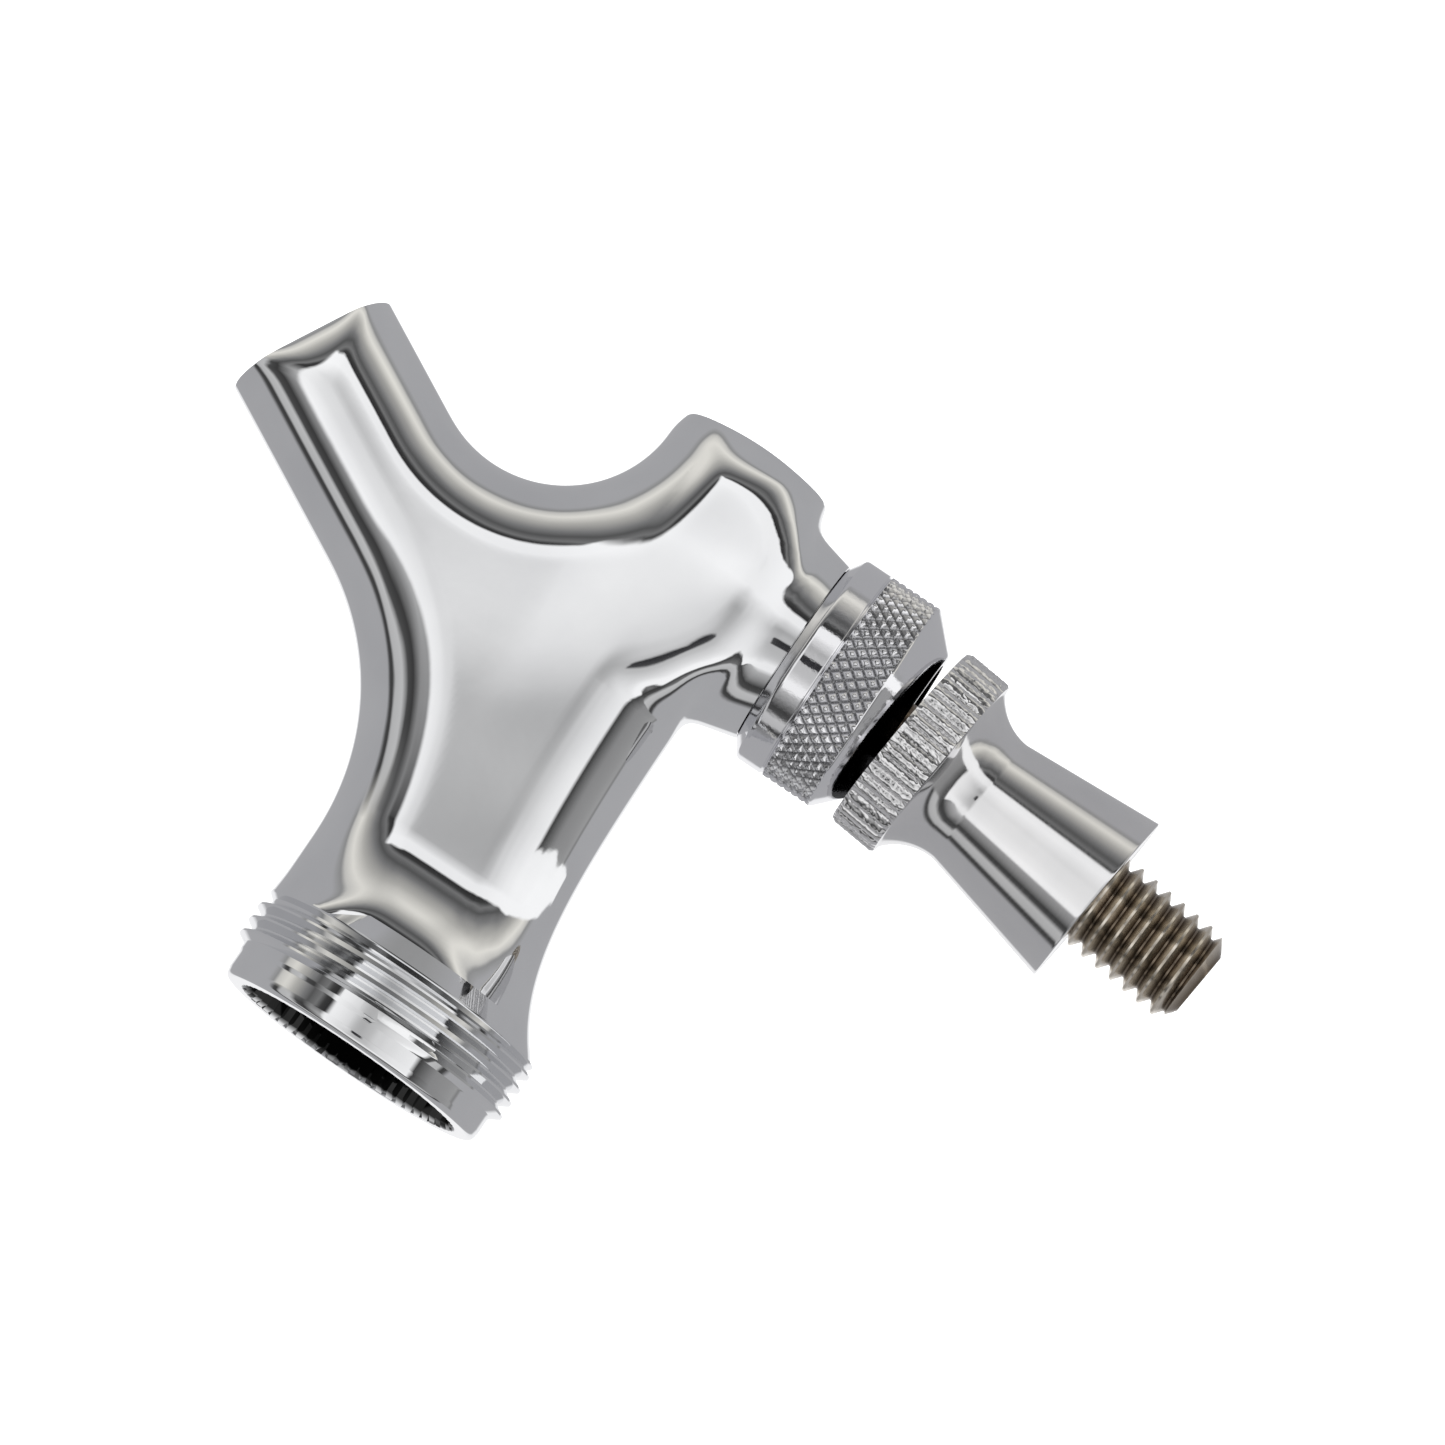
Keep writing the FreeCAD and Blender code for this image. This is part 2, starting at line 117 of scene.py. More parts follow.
# body: cheeks, the thicker and squarer sides under the neck, and the crown of the web
CHEEK_RISE = 2.2
CHEEK_FOOT_Z, CHEEK_CLIMB = -9.0, 17.0
CHEEK_FRONT, CHEEK_REAR = 14.0, 26.0
CHEEK_CORE = 2.0
CHEEK_LIFT = 2.45
LIFT_START, LIFT_START_RUN = 43.0, 5.0
LIFT_END, LIFT_END_RUN = 62.5, 5.5
CHEEK_SQUARE = 3.0
SQUARE_REACH, SQUARE_RUN = 11.5, 7.0
SQUARE_FOOT_Z, SQUARE_CLIMB = -4.0, 9.0
WEB_CROWN = 0.55
WEB_MIDDLE = (34.5, -8.5)
WEB_SPREAD = 8.0

# skin mesh of the body
SKIN_LOW = (-15.5, 5.0, -46.0)
SKIN_HIGH = (15.5, 68.0, 16.0)
SKIN_STEP = 0.5
SKIN_PASSES = 5

# inside of the body
GASKET_SEAT_R = 10.05
GASKET_SEAT_S = 7.5
CHAMBER_R = 6.4
CHAMBER_END = 17.0
PASSAGE_R = 4.9
PASSAGE_START = 18.5
PASSAGE_END = 45.0
GUIDE_R = 4.48
GUIDE_END = 63.2
THROAT_R = 4.6
THROAT_LEN = 9.0
SPOUT_BORE_R = 5.2
SPOUT_LIP_R = 5.5
WELL_R = 6.2
WELL_FLOOR_Z = 2.2
SEAT_R = 7.2
SEAT_Z = 11.4
NECK_THREAD_R = 8.05
NECK_END_Z = 18.0

# lever
LEVER_LEAN = math.radians(6.1)
BELL_END = 30.5
STUD_R = 4.7625
STUD_ROOT_R = 3.85
STUD_PITCH = 25.4 / 16
STUD_END = 42.3
BALL_R = 5.6
STEM_R = 3.0
STEM_FOOT = 4.729
FINGER_R = 1.7
FINGER_TIP = -18.6
FLANGE_R = 5.4
FLANGE_LOW, FLANGE_TOP = 9.7, 10.6


# ---------------------------------------------------------------- camera

RIGHT = Vector((0.04138, -0.55704, 0.82945))
UP = Vector((0.15462, -0.81659, -0.55612))
BACK = Vector((0.98711, 0.15126, 0.05234))
CAMERA_AT = Vector((0.79357, 0.07788, 0.05274))
CAMERA_LENS = 224.22
SENSOR_WIDTH = 36.0


def make_camera():
    data = bpy.data.cameras.new("camera")
    data.lens = CAMERA_LENS
    data.sensor_width = SENSOR_WIDTH
    data.clip_start, data.clip_end = 0.01, 20.0
    camera = bpy.data.objects.new("camera", data)
    camera.matrix_world = Matrix((
        (RIGHT.x, UP.x, BACK.x, CAMERA_AT.x),
        (RIGHT.y, UP.y, BACK.y, CAMERA_AT.y),
        (RIGHT.z, UP.z, BACK.z, CAMERA_AT.z),
        (0, 0, 0, 1),
    ))
    bpy.context.scene.collection.objects.link(camera)
    bpy.context.scene.camera = camera


make_camera()


# ---------------------------------------------------------------- node materials

class Look:
    """A node material in the making, with the shader's sockets set by name."""

    def __init__(self, name, metallic, ior=1.5):
        self.material = bpy.data.materials.new(name)
        self.material.use_nodes = True
        self.tree = self.material.node_tree
        self.shader = self.tree.nodes["Principled BSDF"]
        self.shader.inputs["Metallic"].default_value = metallic
        self.shader.inputs["IOR"].default_value = ior
        self.where = self.tree.nodes.new("ShaderNodeTexCoord").outputs["Object"]

    def node(self, kind, **values):
        made = self.tree.nodes.new(kind)
        for key, value in values.items():
            if key in made.inputs:
                made.inputs[key].default_value = value
            else:
                setattr(made, key, value)
        return made

    def link(self, a, b):
        self.tree.links.new(a, b)

    def stretched(self, scale):
        mapping = self.node("ShaderNodeMapping")
        mapping.inputs["Scale"].default_value = scale
        self.link(self.where, mapping.inputs["Vector"])
        return mapping.outputs["Vector"]

    def noise(self, scale, detail=3.0, where=None, roughness=0.5):
        made = self.node("ShaderNodeTexNoise", Scale=scale, Detail=detail, Roughness=roughness)
        self.link(where or self.where, made.inputs["Vector"])
        return made.outputs["Fac"]

    def ramp(self, source, stops):
        made = self.node("ShaderNodeValToRGB")
        elements = made.color_ramp.elements
        while len(elements) < len(stops):
            elements.new(0.5)
        for element, (at, colour) in zip(elements, stops):
            element.position = at
            element.color = (*colour, 1.0)
        self.link(source, made.inputs["Fac"])
        return made.outputs["Color"]

    def grade(self, source, low, high, start=0.0, end=1.0):
        made = self.node("ShaderNodeMapRange")
        for key, value in (("From Min", start), ("From Max", end), ("To Min", low), ("To Max", high)):
            made.inputs[key].default_value = value
        self.link(source, made.inputs["Value"])
        return made.outputs["Result"]

    def attribute(self, name):
        made = self.node("ShaderNodeAttribute", attribute_name=name)
        return made.outputs["Fac"]

    def shade(self, colour_a, colour_b, factor):
        made = self.node("ShaderNodeMix", data_type="RGBA")
        made.inputs["A"].default_value = (*colour_a, 1.0)
        if isinstance(colour_b, tuple):
            made.inputs["B"].default_value = (*colour_b, 1.0)
        else:
            self.link(colour_b, made.inputs["B"])
        self.link(factor, made.inputs["Factor"])
        return made.outputs["Result"]

    def bump(self, source, strength, distance, under=None):
        made = self.node("ShaderNodeBump", Strength=strength, Distance=distance)
        self.link(source, made.inputs["Height"])
        if under is not None:
            self.link(under, made.inputs["Normal"])
        return made.outputs["Normal"]

    def finish(self, colour=None, roughness=None, normal=None):
        for key, source in (("Base Color", colour), ("Roughness", roughness), ("Normal", normal)):
            if source is not None:
                self.link(source, self.shader.inputs[key])
        return self.material


def polished_chrome():
    look = Look("chrome_body", metallic=1.0)
    cloud = look.noise(scale=90.0, detail=4.0)
    haze = look.noise(scale=420.0, detail=6.0, roughness=0.6)
    hairs = look.noise(scale=900.0, detail=2.0, where=look.stretched((1.0, 9.0, 2.0)))
    colour = look.ramp(cloud, [(0.3, (0.79, 0.795, 0.81)), (0.7, (0.86, 0.865, 0.875))])
    # painted shade: near-black colour in the coupling's toothed mouth, standing in for the shadow inside
    # the body
    painted_hollow_shade_mask = look.grade(look.attribute("height"), low=0.0, high=1.0)
    colour = look.shade((0.03, 0.03, 0.03), colour, painted_hollow_shade_mask)
    waves = look.bump(cloud, strength=0.06, distance=0.0003)
    gloss = look.grade(haze, low=0.012, high=0.06)
    relief = look.bump(hairs, strength=0.01, distance=0.00002, under=waves)
    return look.finish(colour, gloss, relief)


def turned_chrome():
    look = Look("chrome_ferrule", metallic=1.0)
    cloud = look.noise(scale=130.0, detail=4.0)
    lines = look.noise(scale=1500.0, detail=2.0, where=look.stretched((0.15, 0.15, 3.0)))
    # painted shade: near-black colour in the hollow under the ring, standing in for the dark gap above
    # the collar
    painted_hollow_shade_mask = look.grade(look.attribute("height"), low=0.0, high=1.0, start=0.0, end=0.6)
    colour = look.ramp(cloud, [(0.3, (0.74, 0.74, 0.75)), (0.7, (0.82, 0.815, 0.82))])
    colour = look.shade((0.02, 0.02, 0.02), colour, painted_hollow_shade_mask)
    gloss = look.grade(lines, low=0.04, high=0.13)
    relief = look.bump(lines, strength=0.05, distance=0.00003)
    return look.finish(colour, gloss, relief)


def knurled_chrome():
    look = Look("chrome_collar", metallic=1.0)
    height = look.attribute("height")
    grain = look.noise(scale=2600.0, detail=3.0)
    # painted shade: dark grey colour down in the knurl's grooves, which are also rougher
    out_of_groove_shade = look.grade(height, low=0.0, high=1.0, start=0.0, end=0.6)
    colour = look.shade((0.16, 0.16, 0.17), (0.84, 0.84, 0.86), out_of_groove_shade)
    roughness = look.grade(height, low=0.30, high=0.05)
    return look.finish(colour, roughness, look.bump(grain, strength=0.15, distance=0.00004))


def stud_steel():
    look = Look("lever_steel", metallic=1.0)
    cloud = look.noise(scale=500.0, detail=5.0)
    lines = look.noise(scale=3200.0, detail=2.0, where=look.stretched((0.3, 0.3, 4.0)))
    # painted shade: dark brown colour down in the thread's roots
    out_of_groove_shade = look.grade(look.attribute("height"), low=0.0, high=1.0, start=0.05, end=0.75)
    tones = [(0.25, (0.52, 0.46, 0.38)), (0.55, (0.74, 0.68, 0.59)), (0.8, (0.84, 0.79, 0.71))]
    colour = look.ramp(cloud, tones)
    colour = look.shade((0.20, 0.16, 0.12), colour, out_of_groove_shade)
    gloss = look.grade(lines, low=0.12, high=0.28)
    relief = look.bump(lines, strength=0.15, distance=0.00005)
    return look.finish(colour, gloss, relief)


def turned_steel():
    look = Look("shaft_steel", metallic=1.0)
    lines = look.noise(scale=2400.0, detail=3.0, where=look.stretched((0.2, 4.0, 0.2)))
    colour = look.ramp(lines, [(0.3, (0.50, 0.50, 0.51)), (0.7, (0.66, 0.66, 0.67))])
    gloss = look.grade(lines, low=0.15, high=0.32)
    relief = look.bump(lines, strength=0.12, distance=0.00004)
    return look.finish(colour, gloss, relief)


def brass(name):
    look = Look(name, metallic=1.0)
    cloud = look.noise(scale=350.0, detail=5.0)
    lines = look.noise(scale=2600.0, detail=2.0, where=look.stretched((0.4, 3.0, 0.4)))
    colour = look.ramp(cloud, [(0.3, (0.58, 0.43, 0.19)), (0.7, (0.76, 0.60, 0.31))])
    gloss = look.grade(lines, low=0.18, high=0.38)
    relief = look.bump(lines, strength=0.12, distance=0.00005)
    return look.finish(colour, gloss, relief)


def rubber(name):
    look = Look(name, metallic=0.0)
    grain = look.noise(scale=3000.0, detail=6.0)
    cloud = look.noise(scale=260.0, detail=3.0)
    colour = look.ramp(cloud, [(0.3, (0.012, 0.012, 0.013)), (0.7, (0.035, 0.034, 0.034))])
    gloss = look.grade(grain, low=0.5, high=0.75)
    relief = look.bump(grain, strength=0.4, distance=0.00008)
    return look.finish(colour, gloss, relief)


def nylon():
    look = Look("nylon", metallic=0.0)
    look.shader.inputs["Subsurface Weight"].default_value = 0.15
    look.shader.inputs["Subsurface Scale"].default_value = 0.002
    cloud = look.noise(scale=300.0, detail=4.0)
    grain = look.noise(scale=2200.0, detail=3.0, where=look.stretched((0.5, 0.5, 3.0)))
    colour = look.ramp(cloud, [(0.3, (0.74, 0.73, 0.67)), (0.7, (0.84, 0.83, 0.79))])
    gloss = look.grade(grain, low=0.35, high=0.5)
    relief = look.bump(grain, strength=0.1, distance=0.00004)
    return look.finish(colour, gloss, relief)


def floor_paint():
    look = Look("pale_floor", metallic=0.0)
    cloud = look.noise(scale=4.0, detail=2.0)
    colour = look.ramp(cloud, [(0.3, (0.90, 0.90, 0.90)), (0.7, (0.93, 0.93, 0.93))])
    look.shader.inputs["Roughness"].default_value = 0.9
    look.shader.inputs["Specular IOR Level"].default_value = 0.0
    return look.finish(colour)


LOOKS = {
    "chrome_body": polished_chrome(),
    "chrome_ferrule": turned_chrome(),
    "chrome_collar": knurled_chrome(),
    "lever_steel": stud_steel(),
    "shaft_steel": turned_steel(),
    "brass_nut": brass("brass_nut"),
    "brass_bonnet": brass("brass_bonnet"),
    "gasket_rubber": rubber("gasket_rubber"),
    "seat_rubber": rubber("seat_rubber"),
    "nylon": nylon(),
}

# every CAD node gets its slot's material; pieces that replace a node cover it later
for subpart in frame["record"]["subparts"]:
    node = nodes[subpart["node"]]
    node.data.materials.clear()
    node.data.materials.append(LOOKS[subpart["material_slot"]])


# ---------------------------------------------------------------- mesh helpers

def placed(origin, axis):
    """Matrix of a local frame whose z runs along axis; origin and axis are (x, s, z)."""
    z = Vector((axis[0], -axis[1], axis[2])).normalized()
    x = Vector((1.0, 0.0, 0.0))
    matrix = Matrix((x, z.cross(x), z)).transposed().to_4x4()
    matrix.translation = Vector((origin[0], -origin[1], origin[2])) / 1000
    return matrix


BARREL = placed((0, 0, 0), (0, 1, 0))
NECK = placed((0, PIVOT_S, 0), (0, 0, 1))
SPOUT = placed((0, SPOUT_ROOT, 0), (0, math.sin(SPOUT_LEAN), -math.cos(SPOUT_LEAN)))
LEVER = placed((0, PIVOT_S, PIVOT_Z), (0, -math.sin(LEVER_LEAN), math.cos(LEVER_LEAN)))


def new_object(name, verts, faces, matrix=None):
    """Mesh object from millimetre points, with its faces turned outwards."""
    mesh = bpy.data.meshes.new(name)
    mesh.from_pydata([tuple(v) for v in np.asarray(verts, float) / 1000], [], faces)
    if matrix is not None:
        mesh.transform(matrix)
    bm = bmesh.new()
    bm.from_mesh(mesh)
    if bm.calc_volume(signed=True) < 0:
        bmesh.ops.reverse_faces(bm, faces=bm.faces)
    bm.to_mesh(mesh)
    bm.free()
    made = bpy.data.objects.new(name, mesh)
    bpy.context.scene.collection.objects.link(made)
    return made


def with_guards(profile, gap=0.12):
    """The same outline with a point just inside both ends of every long run, to keep it straight."""
    guarded = [profile[0]]
    for a, b in zip(profile, profile[1:]):
        length = math.dist(a, b)
        if length > 5 * gap:
            share = gap / length
            guarded += [tuple(p + (q - p) * t for p, q in zip(a, b)) for t in (share, 1 - share)]
        guarded.append(b)
    return guarded


def turned(name, profile, matrix, segments=192, bump=None):
    """Closed solid turned from (radius, height) pairs; the ends may lie on the axis."""
    profile = [tuple(p) for p in profile]
    open_ends = profile[0][0] < 1e-9 and profile[-1][0] < 1e-9
    profile = with_guards(profile)
    turn = np.linspace(0, 2 * math.pi, segments, endpoint=False)
    rows, verts = [], []
    for r, h in profile:
        if r < 1e-9:
            rows.append([len(verts)] * segments)
            verts.append((0.0, 0.0, h))
            continue
        radius = r + (bump(turn, r, h) if bump else 0.0) + np.zeros(segments)
        rows.append(list(range(len(verts), len(verts) + segments)))
        verts += list(zip(radius * np.cos(turn), radius * np.sin(turn), np.full(segments, h)))
    pairs = list(zip(rows, rows[1:])) + ([] if open_ends else [(rows[-1], rows[0])])
    faces = []
    for a, b in pairs:
        for i in range(segments):
            j = (i + 1) % segments
            quad = [a[i], a[j], b[j], b[i]]
            face = [k for n, k in enumerate(quad) if k not in quad[:n]]
            if len(face) > 2:
                faces.append(face)
    return new_object(name, verts, faces, matrix)


def arc_points(start, middle, end, count=12):
    """Points of the circle arc through three (radius, height) pairs, ends included."""
    (ax, ay), (bx, by), (cx, cy) = start, middle, end
    d = 2 * (ax * (by - cy) + bx * (cy - ay) + cx * (ay - by))
    ux = ((ax**2 + ay**2) * (by - cy) + (bx**2 + by**2) * (cy - ay) + (cx**2 + cy**2) * (ay - by)) / d
    uy = ((ax**2 + ay**2) * (cx - bx) + (bx**2 + by**2) * (ax - cx) + (cx**2 + cy**2) * (bx - ax)) / d
    a0, a1, a2 = (math.atan2(p[1] - uy, p[0] - ux) for p in (start, middle, end))
    sweep = (a2 - a0) % (2 * math.pi)
    if (a1 - a0) % (2 * math.pi) > sweep:
        sweep -= 2 * math.pi
    radius = math.hypot(ax - ux, ay - uy)
    turn = [a0 + sweep * i / (count - 1) for i in range(count)]
    return [(ux + radius * math.cos(a), uy + radius * math.sin(a)) for a in turn]


def rounded_corner(before, corner, after, radius, count=6):
    """Arc points that round a corner of a (radius, height) outline."""
    p, a, b = (np.array(v, float) for v in (corner, before, after))
    u, v = (a - p) / np.linalg.norm(a - p), (b - p) / np.linalg.norm(b - p)
    half = math.acos(np.clip(u @ v, -1, 1)) / 2
    reach = radius / math.tan(half)
    w = (u + v) / np.linalg.norm(u + v)
    middle = p + w * (radius / math.sin(half) - radius)
    return arc_points(p + u * reach, middle, p + v * reach, count)


def ridge(name, matrix, root, crest, pitch, start, end, fade_in, fade_out, per_turn=120):
    """Helical thread ridge with its foot inside the core; it fades in and out over part of a turn."""
    turns = (end - start) / pitch
    count = int(turns * per_turn)
    shape = ((-0.46, 0.0), (-0.07, 1.0), (0.07, 1.0), (0.46, 0.0))
    verts = []
    for i in range(count + 1):
        t = i / per_turn
        a = 2 * math.pi * t
        rise = min(1.0, t / fade_in if fade_in else 1.0, (turns - t) / fade_out if fade_out else 1.0)
        rise = max(rise, 0.02)
        mid = start + t * pitch
        ring = [(root - 0.04 + (crest - root + 0.04) * k * rise, mid + q * pitch) for q, k in shape]
        ring += [(root - 0.5, mid + 0.46 * pitch), (root - 0.5, mid - 0.46 * pitch)]
        verts += [(r * math.cos(a), r * math.sin(a), h) for r, h in ring]
    n = len(shape) + 2
    faces = [list(range(n))[::-1], list(range(count * n, count * n + n))]
    for i in range(count):
        for k in range(n):
            m = (k + 1) % n
            faces.append([i * n + k, i * n + m, (i + 1) * n + m, (i + 1) * n + k])
    return new_object(name, verts, faces, matrix)


def combine(target, tool, operation):
    """Boolean of two closed solids; the tool is used up."""
    modifier = target.modifiers.new("boolean", "BOOLEAN")
    modifier.object = tool
    modifier.operation = operation
    modifier.solver = "MANIFOLD"
    graph = bpy.context.evaluated_depsgraph_get()
    result = bpy.data.meshes.new_from_object(target.evaluated_get(graph))
    if not len(result.vertices):
        raise RuntimeError("boolean left nothing of " + target.name)
    target.modifiers.clear()
    target.data = result
    bpy.data.objects.remove(tool)


def smooth(piece, degrees):
    """Smooth shading, with creases where faces meet at more than this angle."""
    mesh = piece.data
    mesh.polygons.foreach_set("use_smooth", [True] * len(mesh.polygons))
    mesh.set_sharp_from_angle(angle=math.radians(degrees))


def dress(piece, slot, body, *replaced):
    """Give a piece its material, its body and the CAD nodes it stands for."""
    piece.data.materials.clear()
    piece.data.materials.append(LOOKS[slot])
    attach(piece, body)
    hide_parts(*replaced)


# ---------------------------------------------------------------- body skin

def ease(t):
    """Smooth rise from 0 to 1 as t goes from 0 to 1."""
    t = np.clip(t, 0, 1)
    return t * t * (3 - 2 * t)


def barrel_top(s):
    """Height of the barrel's top, which flares up to the coupling."""
    flare = np.exp(-np.maximum(s - COUPLING_CUT, 0) / FLARE_FADE)
    return BARREL_TOP + (COUPLING_SHOULDER_R - BARREL_TOP) * flare


def nose_radius(s):
    """Radius of the nose, which swells a little and then tapers to its rim."""
    swell = NOSE_SWELL * ease((s - NOSE_SWELL_START) / NOSE_SWELL_RUN)
    taper = NOSE_TAPER * np.maximum((s - NOSE_TAPER_START) / NOSE_TAPER_RUN, 0) ** NOSE_TAPER_POWER
    return HALF_THICK + swell - taper


def web_crown(s, z):
    """How far the web between barrel and spout bulges."""
    away = (s - WEB_MIDDLE[0]) ** 2 + (z - WEB_MIDDLE[1]) ** 2
    return WEB_CROWN * np.exp(-away / (2 * WEB_SPREAD**2))


def half_thickness(s):
    """Half the body's thickness in x."""
    t = np.clip((FLAT_END - s) / (FLAT_END - COUPLING_CUT), 0, 1)
    flare = HALF_THICK + (COUPLING_SHOULDER_R - HALF_THICK) * t**2
    return np.where(s > NOSE_START, nose_radius(s), flare)


def spout_point(along, across):
    """The (s, z) of a point given along and across the spout's axis."""
    s = SPOUT_ROOT + along * math.sin(SPOUT_LEAN) + across * math.cos(SPOUT_LEAN)
    return np.array([s, -along * math.cos(SPOUT_LEAN) + across * math.sin(SPOUT_LEAN)])


def side_outline():
    """Side view of the body as a closed run of (s, z) points."""
    down = np.array([math.sin(SPOUT_LEAN), -math.cos(SPOUT_LEAN)])
    out = np.array([math.cos(SPOUT_LEAN), math.sin(SPOUT_LEAN)])
    rear, front = spout_point(0, -SPOUT_R), spout_point(0, SPOUT_R)
    crotch = front + CROTCH_R * out
    crotch = crotch + down * ((-HALF_THICK - CROTCH_R - crotch[1]) / down[1])
    belly = rear - BELLY_R * out
    belly = belly + down * ((BELLY_Z - BELLY_R - belly[1]) / down[1])
    rear_end, front_end = 3.0, 68.0
    s = np.linspace(rear_end, front_end, num=260)
    k = ease((s - NOSE_TOP_START) / NOSE_TOP_RUN)
    lift = CHEEK_LIFT * ease((s - LIFT_START) / LIFT_START_RUN) * ease((LIFT_END - s) / LIFT_END_RUN)
    points = list(np.stack([s, barrel_top(s) * (1 - k) + nose_radius(s) * k + lift], 1))
    s = np.linspace(front_end, crotch[0], num=60)[:-1]
    points += list(np.stack([s, -nose_radius(s)], 1))
    a = np.linspace(math.pi / 2, math.pi / 2 + math.pi - (math.pi / 2 - SPOUT_LEAN), num=90)
    points += list(crotch + CROTCH_R * np.stack([np.cos(a), np.sin(a)], 1))
    spare = SPOUT_LEN + 3
    points += [spout_point(spare, SPOUT_R), spout_point(spare, -SPOUT_R)]
    a = np.linspace(SPOUT_LEAN, math.pi / 2, num=70)
    points += list(belly + BELLY_R * np.stack([np.cos(a), np.sin(a)], 1))
    s = np.linspace(belly[0], rear_end, num=40)[1:]
    step = (COUPLING_SHOULDER_R + BELLY_Z) * np.clip((BELLY_STEP_END - s) / BELLY_STEP_RUN, 0, 1) ** 2
    points += list(np.stack([s, BELLY_Z - step], 1))
    return np.array(points)


class Plan:
    """Signed distance to the side outline on a grid, softened, read back by a cubic spline."""

    step = 0.4
    low = np.array([0.0, -52.0])
    high = np.array([72.0, 22.0])

    def __init__(self, soften=0.7):
        axes = [np.arange(a, b, self.step) for a, b in zip(self.low, self.high)]
        grid = np.stack(np.meshgrid(*axes, indexing="ij"), -1)
        edge = side_outline()
        start, run = edge, np.roll(edge, -1, 0) - edge
        keep = (run**2).sum(1) > 1e-12
        start, run = start[keep], run[keep]
        size = (run**2).sum(1)
        values = []
        for row in grid:
            gap = row[:, None] - start[None]
            t = np.clip((gap * run).sum(2) / size, 0, 1)
            near = ((gap - t[..., None] * run) ** 2).sum(2).min(1)
            low = gap[..., 1] >= 0
            high = gap[..., 1] - run[:, 1] >= 0
            side = run[:, 0] * gap[..., 1] - run[:, 1] * gap[..., 0]
            turns = (low & ~high & (side > 0)).sum(1) - (~low & high & (side < 0)).sum(1)
            values.append(np.where(turns != 0, -1, 1) * np.sqrt(near))
        reach = int(4 * soften / self.step)
        weight = np.exp(-(np.arange(-reach, reach + 1) * self.step) ** 2 / (2 * soften**2))
        weight /= weight.sum()
        field = np.pad(np.array(values), reach, mode="edge")
        for axis in (0, 1):
            size = field.shape[axis] - 2 * reach
            field = sum(w * field.take(range(i, i + size), axis) for i, w in enumerate(weight))
        self.field = field

    def __call__(self, s, z):
        place = [(s - self.low[0]) / self.step, (z - self.low[1]) / self.step]
        cell = [np.clip(np.floor(p).astype(int), 1, n - 3) for p, n in zip(place, self.field.shape)]
        weights = []
        for p, c in zip(place, cell):
            t = np.clip(p - c, -1, 2)
            weights.append([(1 - t) ** 3 / 6, (3 * t**3 - 6 * t**2 + 4) / 6,
                            (-3 * t**3 + 3 * t**2 + 3 * t + 1) / 6, t**3 / 6])
        total = 0.0
        for i in range(4):
            for j in range(4):
                read = self.field[cell[0] + i - 1, cell[1] + j - 1]
                total = total + weights[0][i] * weights[1][j] * read
        return total


plan = Plan()


def climb(t, round_off=0.15):
    """Nearly straight rise from 0 to 1 with rounded ends."""
    run = np.sqrt(t * t + round_off**2) - np.sqrt((1 - t) ** 2 + round_off**2)
    return 0.5 + 0.5 * run / (math.sqrt(1 + round_off**2) - round_off)


def soft_floor(value, blend):
    """The value where it is well above 0, fading smoothly to 0 below."""
    return 0.5 * (value + np.sqrt(value * value + blend))


def plate_field(x, s, z, edge):
    """Distance to the plate: fully rounded edges, and squarer, thicker cheeks under the neck."""
    away = np.sqrt((s - PIVOT_S) ** 2 + CHEEK_CORE**2) - CHEEK_CORE
    near = soft_floor(1 - away / np.where(s > PIVOT_S, CHEEK_FRONT, CHEEK_REAR), 0.01)
    height = soft_floor(climb((z - CHEEK_FOOT_Z) / CHEEK_CLIMB), 0.004)
    thick = half_thickness(s) + CHEEK_RISE * height * near + web_crown(s, z)
    inset = soft_floor(edge + thick, 0.25)
    square = ease((SQUARE_REACH - away) / SQUARE_RUN) * ease((z - SQUARE_FOOT_Z) / SQUARE_CLIMB)
    power = 2 + CHEEK_SQUARE * square
    return ((np.abs(x) / thick) ** power + (inset / thick) ** power) ** (1 / power) * thick - thick


def neck_field(x, s, z):
    """Distance to the boss that swells out of the barrel under the collar."""
    low = np.clip((NECK_BULB_Z - z) / NECK_BULB_DEPTH, 0, 1)
    cone = NECK_TOP_R + NECK_SLOPE * (NECK_TOP_Z - np.maximum(z, NECK_BULB_Z))
    bulb = cone * np.sqrt(np.maximum(1 - low**NECK_BULB_POWER, 0))
    reach = bulb - NECK_PINCH * np.maximum(NECK_PINCH_Z - z, 0)
    steepness = 0.96
    return steepness * (np.hypot(x * cone / NECK_SIDE_R, s - PIVOT_S) - reach)


def body_field(x, s, z, edge=None):
    """Signed distance to the body's outer surface, with the plate and the boss blended."""
    plate = plate_field(x, s, z, plan(s, z) if edge is None else edge)
    boss = neck_field(x, s, z)
    h = np.maximum(NECK_BLEND - np.abs(plate - boss), 0) / NECK_BLEND
    return np.minimum(plate, boss) - h**3 * NECK_BLEND / 6


def body_gradient(points, reach=0.02):
    """Slope of the field at points of (x, s, z), by differences."""
    slope = np.empty_like(points)
    for k in range(3):
        ahead, behind = points.copy(), points.copy()
        ahead[:, k] += reach
        behind[:, k] -= reach
        slope[:, k] = (body_field(*ahead.T) - body_field(*behind.T)) / (2 * reach)
    return slope


